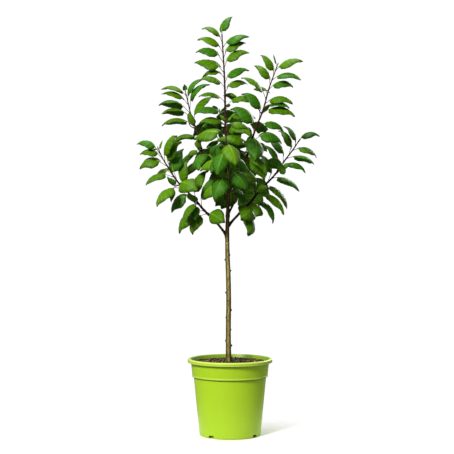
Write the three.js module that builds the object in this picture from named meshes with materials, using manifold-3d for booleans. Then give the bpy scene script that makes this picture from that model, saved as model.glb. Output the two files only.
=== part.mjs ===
import * as THREE from 'three';
import { mergeVertices } from 'three/addons/utils/BufferGeometryUtils.js';
import Module from 'manifold-3d';

// Young pear tree in a round nursery pot.
// Millimetres, +Z up, seen from the -Y side.
// The origin is the centre of the pot's flat underside.

const wasm = await Module();
wasm.setup();

// Running gap between two pieces that touch
const GAP = 0.3;

// Pot: radii and heights of its outer face, from the rolled lip down to the foot
const POT_HEIGHT = 216;
const LIP_RADIUS = 120;
const LIP_HEIGHT = 10.5;
const LIP_WIDTH = 9;
const LIP_EDGE = 1.6;
const COLLAR_TOP_RADIUS = 110.5;
const COLLAR_FOOT_RADIUS = 107;
const COLLAR_FOOT_HEIGHT = 168;
const BODY_TOP_RADIUS = 102.5;
const BODY_TOP_HEIGHT = 164;
const BODY_FOOT_RADIUS = 86;
const FOOT_ROUNDING = 4;
const POT_WALL = 2;
const POT_SIDES = 48;
const NOTCH_WIDTH = 14;
const NOTCH_HEIGHT = 5.5;
const NOTCH_DEPTH = 9;
const NOTCH_TURN = -37.3;
const NOTCH_COUNT = 4;

// Compost: its surface below the pot's rim, and the low mound round the trunk
const COMPOST_DROP = 9;
const MOUND_HEIGHT = 1.8;
const MOUND_RADIUS = 46;
const COMPOST_SIDES = 24;

// Trunk and leader: one line from the compost to the topmost bud, with its girth
const TRUNK_FOOT = POT_HEIGHT - COMPOST_DROP + MOUND_HEIGHT + GAP;
const TRUNK_GIRTHS = [
  { height: 209, across: 19 },
  { height: 222, across: 15.8 },
  { height: 270, across: 14.6 },
  { height: 440, across: 13.8 },
  { height: 530, across: 12.6 },
  { height: 625, across: 10.2 },
  { height: 705, across: 8.6 },
  { height: 806, across: 6.6 },
  { height: 1132, across: 2.6 },
];
const TRUNK_SIDES = 12;
const TRUNK_STEPS = 44;

// Limbs: cubic curves from the trunk's line to the last bud. A limb is bare up to `bare`
// of its length and in leaf from there on. Each letter of `sides` is a leaf, from the
// lowest up, and gives the side of the stem that it grows to. `slopes` are the degrees
// between stem and leaf at the lowest leaf and at the last. `curl` and `size` are given
// where a limb's leaves differ from the others.
const LIMBS = [
  {
    name: 'leader', seed: 11, bare: 0.62, faces: 1, slopes: [ 111, 60 ],
    sides: 'RLRlBRrLRLBRLqRLRpLRLRLRLT',
    curve: [ [ -4, 0, TRUNK_FOOT ], [ -7, 0, 520 ], [ -2, 0, 800 ], [ -23, -5, 1132 ] ],
  },
  {
    name: 'lower_left', seed: 31, bare: 0.25, faces: 1, slopes: [ 111, 60 ],
    sides: 'FLRlRLBRLFRLpRLrLL',
    across: [ 7.4, 2.4 ],
    curve: [ [ -8, 0, 562 ], [ -68, -11, 645 ], [ -157, -44, 703 ], [ -196, -62, 797 ] ],
  },
  {
    name: 'lower_right', seed: 35, bare: 0.2, faces: 1, slopes: [ 111, 60 ],
    sides: 'FrRLRBRLRFLRpRLRLR',
    across: [ 7.4, 2.4 ],
    curve: [ [ -6, 0, 591 ], [ 67, 22, 669 ], [ 142, 46, 746 ], [ 200, 57, 839 ] ],
  },
  {
    name: 'upper_left', seed: 47, bare: 0.36, faces: 1, slopes: [ 111, 60 ],
    sides: 'LFLBRLRqLRlLRLRL',
    across: [ 6.6, 2.2 ],
    curve: [ [ -8, 0, 665 ], [ -67, 16, 759 ], [ -101, 38, 866 ], [ -127, 58, 972 ] ],
  },
  {
    name: 'upper_right', seed: 59, bare: 0.25, faces: 1, slopes: [ 111, 60 ],
    sides: 'RrRLRFLRBLRrRLpRLRLR',
    across: [ 6.6, 2.2 ],
    curve: [ [ -4, 0, 687 ], [ 61, -14, 794 ], [ 87, -37, 916 ], [ 129, -52, 1031 ] ],
  },
  {
    name: 'front', seed: 63, bare: 0.4, faces: 1, slopes: [ 118, 106 ], sides: 'LRlrLRlrLR',
    across: [ 6.4, 2.2 ], curl: 92, size: 0.97,
    curve: [ [ -6, 0, 616 ], [ -6, -62, 664 ], [ -10, -122, 750 ], [ -12, -156, 866 ] ],
  },
  {
    name: 'back_low', seed: 73, bare: 0.38, faces: -1, slopes: [ 114, 84 ], sides: 'pqBLRpBqFpqBpq',
    across: [ 6.8, 2.2 ],
    curve: [ [ -7, 0, 618 ], [ 14, 76, 664 ], [ 38, 150, 730 ], [ 52, 196, 830 ] ],
  },
  {
    name: 'back_high', seed: 85, bare: 0.22, faces: -1, slopes: [ 114, 84 ], sides: 'pBqRBpqFBpLqpq',
    across: [ 6.2, 2.2 ],
    curve: [ [ -6, 0, 706 ], [ -8, 56, 762 ], [ -20, 116, 840 ], [ -30, 152, 926 ] ],
  },
];
const LIMB_WAVER = 2.2;
const BOUGH_SIDES = 8;
const BOUGH_STEP = 14;
const SHOOT_SIDES = 5;
const SHOOT_STEP = 16;

// Leaf sizes: the half width is a share of the length, and the outline gives shares of the
// length from the petiole to the tip with the width there. The last part of each shoot
// carries young leaves, smaller than the rest.
const LEAF_LENGTH = 80;
const LEAF_LENGTH_SPREAD = 0.16;
const LEAF_HALF_WIDTH = 0.37;
const LEAF_OUTLINE = [ [ 0, 0.1 ], [ 0.13, 0.78 ], [ 0.38, 1 ], [ 0.68, 0.72 ], [ 0.88, 0.28 ], [ 1, 0 ] ];
const LEAF_THICKNESS = 1.3;
const YOUNG_LEAF = 0.84;
const YOUNG_PART = 0.25;
const PETIOLE_LENGTH = 21;
const PETIOLE_SPREAD = 7;
const PETIOLE_RADIUS = 1;

// Leaf places round the stem, in degrees: Right, right and front, Front, left and front,
// Left, left and back, Back, right and back, and Tip for the last leaf of a shoot
const LEAF_TURNS = { R: 0, r: 45, F: 90, l: 135, L: 180, p: 225, B: 270, q: 315, T: 322 };

// Leaf posture, in degrees: spread of its place, slope of its petiole and blade from the
// stem, curl along the blade, fold along its midrib, and roll that turns its upper face
// outwards. Leaves that face the viewer slope more and curl less. Leaves above a leaning
// stem droop less.
const TURN_SPREAD = 24;
const PETIOLE_SLOPE = 22;
const FACING_SLOPE = 28;
const TIP_LEAF_SLOPE = 34;
const SLOPE_SPREAD = 9;
const RAISED_LEAF = 1.1;
const CURL = 108;
const FACING_CURL = 34;
const CURL_SPREAD = 16;
const FOLD = 26;
const ROLL = 20;
const ROLL_SPREAD = 12;

// Room that a leaf keeps to limbs and to other leaves, tested from point to point, and the
// crown's reach
const LIMB_ROOM = 4;
const LIMB_SPOTS = 80;
const LEAF_ROOM = 6.5;
const LEAF_SPOTS_ALONG = 10;
const LEAF_SPOTS_ASIDE = 3;
const LEAF_TRIES = 16;
const LEAF_APART = 4 * LEAF_LENGTH;
const CROWN_TOP = 1194;
const CROWN_RADIUS = 272;

const VIEW = new THREE.Vector3( 0, - 1, 0 );
const DEGREE = Math.PI / 180;

// Colours
const COMPOST_BROWN = 0x5a4a28;
const POT_LIME = 0xa9d62e;
const BARK_TAN = 0x9a8b57;
const LEAF_GREEN = 0x3f7d1c;

// Closed solid from a geometry's triangles, without the ones that have shrunk to a line
function solidOf( geometry ) {
  geometry.deleteAttribute( 'normal' );
  geometry.deleteAttribute( 'uv' );
  const merged = mergeVertices( geometry );
  const corners = merged.index.array;
  const kept = [];
  for ( let i = 0; i < corners.length; i += 3 ) {
    const [ a, b, c ] = corners.slice( i, i + 3 );
    if ( a !== b && b !== c && c !== a ) kept.push( a, b, c );
  }
  const vertProperties = merged.attributes.position.array;
  const mesh = new wasm.Mesh( { numProp: 3, vertProperties, triVerts: new Uint32Array( kept ) } );
  return new wasm.Manifold( mesh );
}

function meshOf( name, body, color, roughness ) {
  const { vertProperties, triVerts } = body.getMesh();
  const geometry = new THREE.BufferGeometry();
  geometry.setAttribute( 'position', new THREE.BufferAttribute( vertProperties, 3 ) );
  geometry.setIndex( new THREE.BufferAttribute( triVerts, 1 ) );
  geometry.computeVertexNormals();
  const material = new THREE.MeshStandardMaterial( { color, roughness, metalness: 0 } );
  const mesh = new THREE.Mesh( geometry, material );
  mesh.name = name;
  return mesh;
}

// Closed skin of a tube, or of a spike when pointed: place() takes the unit offsets across
// the section and the share of the way along
function skin( sides, steps, pointed, place ) {
  const geometry = new THREE.CylinderGeometry( pointed ? 0 : 1, 1, 1, sides, steps );
  const spots = geometry.attributes.position;
  for ( let i = 0; i < spots.count; i ++ ) {
    const out = Math.hypot( spots.getX( i ), spots.getZ( i ) ) || 1;
    const point = place( spots.getX( i ) / out, spots.getZ( i ) / out, spots.getY( i ) + 0.5 );
    spots.setXYZ( i, point.x, point.y, point.z );
  }
  return geometry;
}

// Even random numbers from 0 to 1, the same on every run
function seeded( seed ) {
  let state = seed;
  return () => {
    state = ( Math.imul( state, 1664525 ) + 1013904223 ) >>> 0;
    return state / 4294967296;
  };
}

// Pot

function lathe( outline, sides ) {
  const points = outline.map( ( [ radius, height ] ) => new THREE.Vector2( radius, height ) );
  return new THREE.LatheGeometry( points, sides ).rotateX( Math.PI / 2 );
}

function pot() {
  const lipFoot = POT_HEIGHT - LIP_HEIGHT;
  const inside = [
    [ LIP_RADIUS - LIP_WIDTH, POT_HEIGHT ],
    [ COLLAR_TOP_RADIUS - POT_WALL, lipFoot ],
    [ COLLAR_FOOT_RADIUS - POT_WALL, COLLAR_FOOT_HEIGHT ],
    [ BODY_TOP_RADIUS - POT_WALL, BODY_TOP_HEIGHT ],
    [ BODY_FOOT_RADIUS - POT_WALL, 2 * FOOT_ROUNDING ],
    [ BODY_FOOT_RADIUS - POT_WALL - FOOT_ROUNDING, POT_WALL ],
    [ 0, POT_WALL ],
  ];
  const outside = [
    [ 0, 0 ],
    [ BODY_FOOT_RADIUS - FOOT_ROUNDING, 0 ],
    [ BODY_FOOT_RADIUS - 0.3 * FOOT_ROUNDING, 0.3 * FOOT_ROUNDING ],
    [ BODY_FOOT_RADIUS, 2 * FOOT_ROUNDING ],
    [ BODY_TOP_RADIUS, BODY_TOP_HEIGHT ],
    [ COLLAR_FOOT_RADIUS, COLLAR_FOOT_HEIGHT ],
    [ COLLAR_TOP_RADIUS, lipFoot ],
    [ LIP_RADIUS - LIP_EDGE, lipFoot ],
    [ LIP_RADIUS, lipFoot + LIP_EDGE ],
    [ LIP_RADIUS, POT_HEIGHT - 2 * LIP_EDGE ],
    [ LIP_RADIUS - LIP_EDGE, POT_HEIGHT - 0.4 * LIP_EDGE ],
    [ LIP_RADIUS - 3 * LIP_EDGE, POT_HEIGHT ],
  ];
  let body = solidOf( lathe( outside.concat( inside ), POT_SIDES ) );
  for ( let i = 0; i < NOTCH_COUNT; i ++ ) {
    const turn = ( NOTCH_TURN + i * 360 / NOTCH_COUNT ) * DEGREE;
    const notch = new THREE.BoxGeometry( NOTCH_WIDTH, 2 * NOTCH_DEPTH, 2 * NOTCH_HEIGHT );
    notch.translate( 0, - BODY_FOOT_RADIUS, 0 ).rotateZ( turn );
    body = body.subtract( solidOf( notch ) );
  }
  return body;
}

function compost() {
  const top = POT_HEIGHT - COMPOST_DROP;
  const share = ( top - COLLAR_FOOT_HEIGHT ) / ( POT_HEIGHT - LIP_HEIGHT - COLLAR_FOOT_HEIGHT );
  const topRadius = COLLAR_FOOT_RADIUS + share * ( COLLAR_TOP_RADIUS - COLLAR_FOOT_RADIUS );
  const inset = POT_WALL + 2 * GAP;
  const outline = [
    [ 0, POT_WALL + GAP ],
    [ BODY_FOOT_RADIUS - inset - FOOT_ROUNDING, POT_WALL + GAP ],
    [ BODY_FOOT_RADIUS - inset, 2 * FOOT_ROUNDING ],
    [ BODY_TOP_RADIUS - inset, BODY_TOP_HEIGHT ],
    [ COLLAR_FOOT_RADIUS - inset, COLLAR_FOOT_HEIGHT + GAP ],
    [ topRadius - inset, top ],
    [ MOUND_RADIUS, top + 0.4 * MOUND_HEIGHT ],
    [ 0.4 * MOUND_RADIUS, top + MOUND_HEIGHT ],
    [ 0, top + MOUND_HEIGHT ],
  ];
  return solidOf( lathe( outline, COMPOST_SIDES ) );
}

// Limbs

function bezier( a, b, c, d, t ) {
  const s = 1 - t;
  return s * s * s * a + 3 * s * s * t * b + 3 * s * t * t * c + t * t * t * d;
}

// A limb's line wavers a little to both sides, less towards its ends
function limbPoint( limb, t ) {
  const [ a, b, c, d ] = limb.curve;
  const waver = LIMB_WAVER * Math.sin( Math.PI * Math.min( 1, Math.max( 0, t ) ) );
  const point = new THREE.Vector3(
    bezier( a[ 0 ], b[ 0 ], c[ 0 ], d[ 0 ], t ),
    bezier( a[ 1 ], b[ 1 ], c[ 1 ], d[ 1 ], t ),
    bezier( a[ 2 ], b[ 2 ], c[ 2 ], d[ 2 ], t ),
  );
  point.x += waver * Math.sin( limb.seed + 17 * t );
  point.y += waver * Math.cos( limb.seed + 13 * t );
  return point;
}

// Direction of the line at t, and the share of the line that a length takes there
function limbRun( limb, t ) {
  const near = 0.002;
  const run = limbPoint( limb, t + near ).sub( limbPoint( limb, t - near ) );
  return { axis: run.clone().normalize(), pace: 2 * near / run.length() };
}

function limbRadius( limb, t ) {
  if ( limb.across ) return ( limb.across[ 0 ] + t * ( limb.across[ 1 ] - limb.across[ 0 ] ) ) / 2;
  const height = limbPoint( limb, t ).z;
  const next = TRUNK_GIRTHS.findIndex( ( girth ) => girth.height >= height );
  if ( next < 1 ) return TRUNK_GIRTHS.at( next ).across / 2;
  const [ low, high ] = TRUNK_GIRTHS.slice( next - 1, next + 1 );
  const share = ( height - low.height ) / ( high.height - low.height );
  return ( low.across + share * ( high.across - low.across ) ) / 2;
}

// Right and front of a stem that runs along axis, as the viewer sees them
function sidesOf( axis ) {
  const right = axis.clone().cross( VIEW ).normalize();
  return { right, front: right.clone().cross( axis ) };
}

function tube( limb, from, to, sides, steps, extra = 0 ) {
  return solidOf( skin( sides, steps, false, ( x, z, along ) => {
    const t = from + along * ( to - from );
    const { right, front } = sidesOf( limbRun( limb, t ).axis );
    const radius = limbRadius( limb, t ) + extra;
    const point = limbPoint( limb, t ).addScaledVector( right, x * radius );
    return point.addScaledVector( front, z * radius );
  } ) );
}

function limbLength( limb, from, to ) {
  return limbPoint( limb, from ).distanceTo( limbPoint( limb, to ) );
}

// Leaves

// Offsets along and beside the stem after a bend from one angle to another over a length
function bent( from, to, length ) {
  const half = ( to - from ) / 2;
  const chord = half === 0 ? length : length * Math.sin( half ) / half;
  return { along: chord * Math.cos( from + half ), aside: chord * Math.sin( from + half ) };
}

// One leaf's build: where it leaves the stem, which way it grows, and its size
function sprout( limb, share, letter, draw ) {
  const t = limb.bare + share * ( 1 - limb.bare );
  const { axis } = limbRun( limb, t );
  const { right, front } = sidesOf( axis );
  const turn = ( LEAF_TURNS[ letter ] + TURN_SPREAD * ( 2 * draw() - 1 ) ) * DEGREE;
  const aside = right.clone().multiplyScalar( Math.cos( turn ) ).addScaledVector( front, Math.sin( turn ) );
  const hang = THREE.MathUtils.clamp( 1 - RAISED_LEAF * aside.z, 0, 1 );
  const [ lowest, last ] = limb.slopes;
  let slope = last + ( lowest - last ) * ( 1 - share ) * hang;
  slope += FACING_SLOPE * Math.abs( Math.sin( turn ) ) * hang;
  if ( letter === 'T' ) slope = TIP_LEAF_SLOPE;
  slope = ( slope + SLOPE_SPREAD * ( 2 * draw() - 1 ) ) * DEGREE;
  const flatter = FACING_CURL * Math.abs( Math.sin( turn ) );
  const curl = ( ( limb.curl ?? CURL ) - flatter + CURL_SPREAD * ( 2 * draw() - 1 ) ) * DEGREE;
  const across = aside.clone().cross( axis );
  const facing = - across.y * limb.faces;
  const roll = ( ROLL * facing + ROLL_SPREAD * ( 2 * draw() - 1 ) ) * DEGREE;
  const young = 1 - ( 1 - YOUNG_LEAF ) * Math.max( 0, 1 - ( 1 - share ) / YOUNG_PART );
  const grown = LEAF_LENGTH * ( limb.size ?? 1 ) * young;
  const length = grown * ( 1 + LEAF_LENGTH_SPREAD * ( 2 * draw() - 1 ) );
  const petiole = young * ( PETIOLE_LENGTH + PETIOLE_SPREAD * ( 2 * draw() - 1 ) );
  const bladeStart = slope - curl / 2;
  return {
    root: limbPoint( limb, t ), axis, aside, across, roll, length, petiole,
    angles: [ bladeStart / 2 + PETIOLE_SLOPE * DEGREE, bladeStart, bladeStart + curl ],
  };
}

// Centre and cross directions of a leaf at a reach: -1 to 0 along its petiole, 0 to 1 along
// its blade
function leafFrame( leaf, reach ) {
  const [ start, middle, end ] = leaf.angles;
  const stalk = Math.min( 1, 1 + reach );
  const blade = Math.max( 0, reach );
  const stalkAngle = start + ( middle - start ) * stalk;
  const angle = stalkAngle + ( end - middle ) * blade;
  const low = bent( start, stalkAngle, leaf.petiole * stalk );
  const high = bent( stalkAngle, angle, leaf.length * blade );
  const centre = leaf.root.clone().addScaledVector( leaf.axis, low.along + high.along );
  centre.addScaledVector( leaf.aside, low.aside + high.aside );
  const level = leaf.axis.clone().multiplyScalar( Math.sin( angle ) );
  level.addScaledVector( leaf.aside, - Math.cos( angle ) );
  const [ cos, sin ] = [ Math.cos( leaf.roll ), Math.sin( leaf.roll ) ];
  const up = level.clone().multiplyScalar( cos ).addScaledVector( leaf.across, sin );
  const wide = leaf.across.clone().multiplyScalar( cos ).addScaledVector( level, - sin );
  return { centre, up, wide };
}

function outlineAt( reach ) {
  const next = Math.max( 1, LEAF_OUTLINE.findIndex( ( [ at ] ) => at >= reach ) );
  const [ low, high ] = LEAF_OUTLINE.slice( next - 1, next + 1 );
  return low[ 1 ] + ( high[ 1 ] - low[ 1 ] ) * ( reach - low[ 0 ] ) / ( high[ 0 ] - low[ 0 ] );
}

// Point of the folded blade at reach along it and side across it, from -1 to 1
function bladePoint( leaf, reach, side ) {
  const { centre, up, wide } = leafFrame( leaf, reach );
  const half = leaf.length * LEAF_HALF_WIDTH * outlineAt( reach );
  centre.addScaledVector( wide, side * half * Math.cos( FOLD * DEGREE ) );
  return centre.addScaledVector( up, - Math.abs( side ) * half * Math.sin( FOLD * DEGREE ) );
}

// A blade and its petiole as one closed body: a diamond section drawn out to a point
function leafSolid( leaf ) {
  const reaches = [ - 1, ...LEAF_OUTLINE.map( ( [ at ] ) => at ) ];
  const steps = reaches.length - 1;
  return solidOf( skin( 4, steps, true, ( x, z, along ) => {
    const reach = reaches[ Math.round( along * steps ) ];
    if ( reach <= 0 ) {
      const { centre, up, wide } = leafFrame( leaf, reach );
      return centre.addScaledVector( wide, x * PETIOLE_RADIUS ).addScaledVector( up, z * PETIOLE_RADIUS );
    }
    const { up } = leafFrame( leaf, reach );
    return bladePoint( leaf, reach, x ).addScaledVector( up, z * LEAF_THICKNESS / 2 );
  } ) );
}

// Test points spread over a blade
function bladeSpots( leaf ) {
  const spots = [];
  for ( let i = 1; i <= LEAF_SPOTS_ALONG; i ++ ) {
    for ( let j = - LEAF_SPOTS_ASIDE; j <= LEAF_SPOTS_ASIDE; j ++ ) {
      spots.push( bladePoint( leaf, i / LEAF_SPOTS_ALONG, j / LEAF_SPOTS_ASIDE ) );
    }
  }
  return spots;
}

function limbSpots( limb ) {
  const spots = [];
  for ( let i = 0; i <= LIMB_SPOTS; i ++ ) {
    const t = i / LIMB_SPOTS;
    spots.push( { at: limbPoint( limb, t ), room: limbRadius( limb, t ) + LIMB_ROOM } );
  }
  return spots;
}

// Each limb in turn puts out its leaves. A leaf that would reach past the crown, touch a limb
// or cross another leaf is turned and sized anew, and is left out if no try finds room.
function growLeaves() {
  const limbsTaken = LIMBS.flatMap( limbSpots );
  const grown = [];
  for ( const limb of LIMBS ) {
    const draw = seeded( limb.seed );
    limb.leaves = [];
    const count = limb.sides.length;
    for ( let i = 0; i < count; i ++ ) {
      const share = ( i + 0.5 ) / count;
      for ( let attempt = 0; attempt < LEAF_TRIES; attempt ++ ) {
        const leaf = sprout( limb, share, limb.sides[ i ], draw );
        leaf.spots = bladeSpots( leaf );
        if ( hasRoom( leaf, limbsTaken, grown ) ) {
          limb.leaves.push( leaf );
          grown.push( leaf );
          break;
        }
      }
    }
  }
}

function hasRoom( leaf, limbsTaken, grown ) {
  for ( const spot of leaf.spots ) {
    if ( spot.z > CROWN_TOP || Math.hypot( spot.x, spot.y ) > CROWN_RADIUS ) return false;
    if ( limbsTaken.some( ( { at, room } ) => at.distanceToSquared( spot ) < room * room ) ) return false;
  }
  const room = LEAF_ROOM * LEAF_ROOM;
  for ( const other of grown ) {
    if ( other.root.distanceTo( leaf.root ) > LEAF_APART ) continue;
    for ( const spot of leaf.spots ) {
      if ( other.spots.some( ( at ) => at.distanceToSquared( spot ) < room ) ) return false;
    }
  }
  return true;
}

// Leafy shoot: the limb's own stem from its bare end to the last bud, with its leaves
function foliage( limb ) {
  const from = limb.bare + GAP * limbRun( limb, limb.bare ).pace;
  const steps = Math.round( limbLength( limb, from, 1 ) / SHOOT_STEP );
  let body = tube( limb, from, 1, SHOOT_SIDES, steps );
  for ( const leaf of limb.leaves ) body = body.add( leafSolid( leaf ) );
  return body;
}

// Bough: from the trunk's face to where its leaves begin
function bough( limb, trunkRoom ) {
  const steps = Math.round( limbLength( limb, 0, limb.bare ) / BOUGH_STEP );
  return tube( limb, 0, limb.bare, BOUGH_SIDES, steps ).subtract( trunkRoom );
}

// Assembly

growLeaves();

const [ leader, ...boughs ] = LIMBS;
const trunk = tube( leader, 0, leader.bare, TRUNK_SIDES, TRUNK_STEPS );
const trunkRoom = tube( leader, 0, leader.bare, TRUNK_SIDES, TRUNK_STEPS, GAP );

const tree = new THREE.Group();
tree.add( meshOf( 'pot', pot(), POT_LIME, 0.45 ) );
tree.add( meshOf( 'compost', compost(), COMPOST_BROWN, 1 ) );
tree.add( meshOf( 'trunk', trunk, BARK_TAN, 0.8 ) );
for ( const limb of boughs ) {
  tree.add( meshOf( `${ limb.name }_bough`, bough( limb, trunkRoom ), BARK_TAN, 0.8 ) );
}
for ( const limb of LIMBS ) {
  tree.add( meshOf( `${ limb.name }_foliage`, foliage( limb ), LEAF_GREEN, 0.5 ) );
}

export default tree;
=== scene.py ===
"""Young pear tree in a lime green nursery pot, finished round its solid frame.

The solids give each part its place. The pot is spun, the compost is heaped and crumbled,
the bark is raised, and the crown is grown again by the same seeded rule as the solids, with
finer leaves, petioles, buds and spurs.
"""

import math

import bmesh
import bpy
import numpy as np
from bpy.props import FloatProperty, FloatVectorProperty, IntProperty, PointerProperty
from mathutils import Euler, Matrix, Vector, noise


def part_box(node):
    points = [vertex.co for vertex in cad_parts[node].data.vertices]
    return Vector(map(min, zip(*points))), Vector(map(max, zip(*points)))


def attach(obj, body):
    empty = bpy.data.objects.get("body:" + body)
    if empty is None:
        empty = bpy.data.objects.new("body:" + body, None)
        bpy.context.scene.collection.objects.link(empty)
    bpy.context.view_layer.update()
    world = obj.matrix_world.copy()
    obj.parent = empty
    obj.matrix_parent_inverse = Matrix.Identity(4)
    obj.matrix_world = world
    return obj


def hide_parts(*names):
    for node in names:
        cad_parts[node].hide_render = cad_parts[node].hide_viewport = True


bl_info = {
    "name": "Potted Pear Tree",
    "version": (1, 0, 0),
    "blender": (4, 5, 0),
    "location": "View3D > Sidebar > Pear Tree",
    "description": "Finishes a young pear tree in a nursery pot",
    "category": "Object",
}

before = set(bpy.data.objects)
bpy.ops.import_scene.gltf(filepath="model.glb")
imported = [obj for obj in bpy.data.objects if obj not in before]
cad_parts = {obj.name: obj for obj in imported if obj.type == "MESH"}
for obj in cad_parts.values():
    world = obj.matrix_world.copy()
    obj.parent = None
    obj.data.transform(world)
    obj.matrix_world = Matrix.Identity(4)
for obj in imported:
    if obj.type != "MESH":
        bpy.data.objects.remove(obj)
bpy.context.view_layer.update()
BODY = "root"
MM = 0.001

_, POT_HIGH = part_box("pot")
_, COMPOST_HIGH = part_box("compost")
TRUNK_LOW, TRUNK_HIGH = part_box("trunk")

# Pot, in millimetres: its height and lip are the frame's, the rest are its moulded shape. A
# round is the radius of a rounding: of the lip, its inner edge and its underside, the hollow
# below it, the bead, the ledge and the foot.
POT_HEIGHT = POT_HIGH.z / MM
LIP_RADIUS = POT_HIGH.x / MM
LIP_HEIGHT = 10.5
LIP_WIDTH = 9
LIP_FOOT = POT_HEIGHT - LIP_HEIGHT
LIP_INSIDE = LIP_RADIUS - LIP_WIDTH
LIP_ROUND = 4.4
INNER_ROUND = 1.6
UNDER_ROUND = 2
COLLAR_TOP_RADIUS = 110.5
HOLLOW_ROUND = 1.2
COLLAR_FOOT_RADIUS = 107
COLLAR_FOOT_HEIGHT = 168
BEAD_ROUND = 2
BODY_TOP_RADIUS = 102.5
BODY_TOP_HEIGHT = 164
LEDGE_ROUND = 1
BODY_FOOT_RADIUS = 86
FOOT_ROUND = 5
# Painted light in lines round the pot: start of the fade-in, full from and full to, colour and
# strength. The pale lines on the lip and the bead are painted highlights, and the dark lines
# below the lip and the bead are painted shadow.
POT_PAINTED_LIGHT = (
    (212, 213.5, 217, "#D2E276", 0.6),
    (205.8, 206.6, 208.4, "#D2E66A", 0.6),
    (200.5, 203.5, 205.2, "#5D7A10", 0.5),
    (166.4, 168, 170.5, "#C6DE58", 0.4),
    (162, 164.4, 166.2, "#5D7A10", 0.7),
)
NOTCH_TURN = -37.3
NOTCH_COUNT = 4
NOTCH_SIZE = (17, 18, 17.5)
NOTCH_CORNER = 3
# Edges of the pot that bend by more degrees than this stay sharp
POT_CREASE = 40
# Drain holes in the floor: the radius of each ring of them and how many it has
DRAIN_RINGS = ((30, 4), (62, 8))
DRAIN_RADIUS = 5
DRAIN_DEPTH = 14

# Compost, in millimetres. Its smooth surface lies the sink below the solid's.
MOUND_HEIGHT = 1.8
MOUND_RADIUS = 46
COMPOST_TOP = COMPOST_HIGH.z / MM - MOUND_HEIGHT
COMPOST_SINK = 1.2
COMPOST_RADIUS = COMPOST_HIGH.x / MM
COMPOST_RINGS = 52
COMPOST_STEPS = 220
# Its gaps to the pot's wall and floor
WALL_GAP = 0.5
FLOOR_GAP = 0.8
# Loose pieces on it: their least and greatest size and how far they tilt, in radians
CRUMBS = ((1.6, 6.5), 6)
CHIPS = ((5, 15), 0.5)
# How near they come to the wall, in millimetres, how rough their surfaces are, and how far
# each is raised, in shares of its size
LOOSE_MARGIN = 2
LOOSE_ROUGHNESS = 0.35
LOOSE_LIFT = 0.12
COMPOST_SEED = 5

# Trunk and leader: one line from the compost to the topmost bud, with its girth
TRUNK_GIRTHS = (
    (209, 19), (222, 15.8), (270, 14.6), (440, 13.8), (530, 12.6), (625, 10.2),
    (705, 8.6), (806, 6.6), (1132, 2.6),
)

# Old bud scars on the trunk: height, turn from the viewer's right, and size
TRUNK_SCARS = (
    (253, 8, 2.6), (266, 176, 1.7), (298, 14, 1.3), (332, 190, 1.4), (353, -6, 1.9),
    (403, 172, 2.1), (465, 10, 1.9), (496, 186, 1.9), (509, -8, 1.3), (381, 95, 1.2),
    (438, 250, 1.5), (310, 275, 1.6), (525, 80, 1.1), (560, 205, 1.4),
)
# A scar swells the bark over a reach that grows with it, and dents it above by a share of it
SCAR_REACH = 2.2
SCAR_GROWTH = 0.25
DENT_SHARE = 0.35
DENT_RISE = 1.6
DENT_REACH = 1.4
# Bud in a scar, in shares of the scar's size: how far it stands out, its length and radius
SCAR_BUD_OUT = 0.45
SCAR_BUD = (2, 0.95)
# Rings left where one year's growth ended: height and how far they stand out. A groove, as
# deep as a share of the ring, runs above each.
TRUNK_RINGS = ((541.6, 0.8), (284, 0.3), (318, 0.2), (447, 0.2))
RING_REACH = 1.5
GROOVE_SHARE = 0.4
GROOVE_RISE = 3
GROOVE_REACH = 1.2
# Flare at the trunk's foot: how far it stands out, how high it reaches, and its lobes
FLARE = 1.5
FLARE_HEIGHT = 7
FLARE_LOBES = 4
# Collar of a bough: how far it raises the trunk and the bough, where it starts to fade along
# the bough and how slowly, and the ring part-way along
TRUNK_COLLAR = 1.6
BOUGH_COLLAR = 2.4
COLLAR_FULL = 5
COLLAR_FADE = 6
BOUGH_RING = 0.5
BOUGH_RING_SHARE = 0.55
BOUGH_RING_REACH = 1.6
# The trunk's bark starts just below the compost's top, and all bark runs on under the leafy
# stem: both in shares of the limb's line
BARK_START = -0.004
BARK_OVERLAP = 0.01
# About how long the bark's faces are, and how many heights are looked up along the leader
TRUNK_STEP = 1.6
BOUGH_STEP = 1.8
HEIGHT_STEPS = 400

# What a stem is unless it says otherwise. It is bare up to "bare" of its length and in leaf
# from there on. "faces" is 1 where its blades roll towards the viewer's side and -1 where
# they roll towards the back. "slopes" are the degrees between stem and leaf at the lowest
# leaf and at the last, and "curl" those that a leaf bends through. "size" and "stalk" scale
# its blades and petioles. "waver" is how far its line sways, in millimetres. "low" are
# leaves at the foot of the leafy part that the solids leave out, each with its share of that
# part and its letter.
STEM = {
    "bare": 0, "faces": 1, "slopes": (111, 60), "curl": 108, "size": 1, "stalk": 1,
    "waver": 2.2, "low": (),
}

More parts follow.
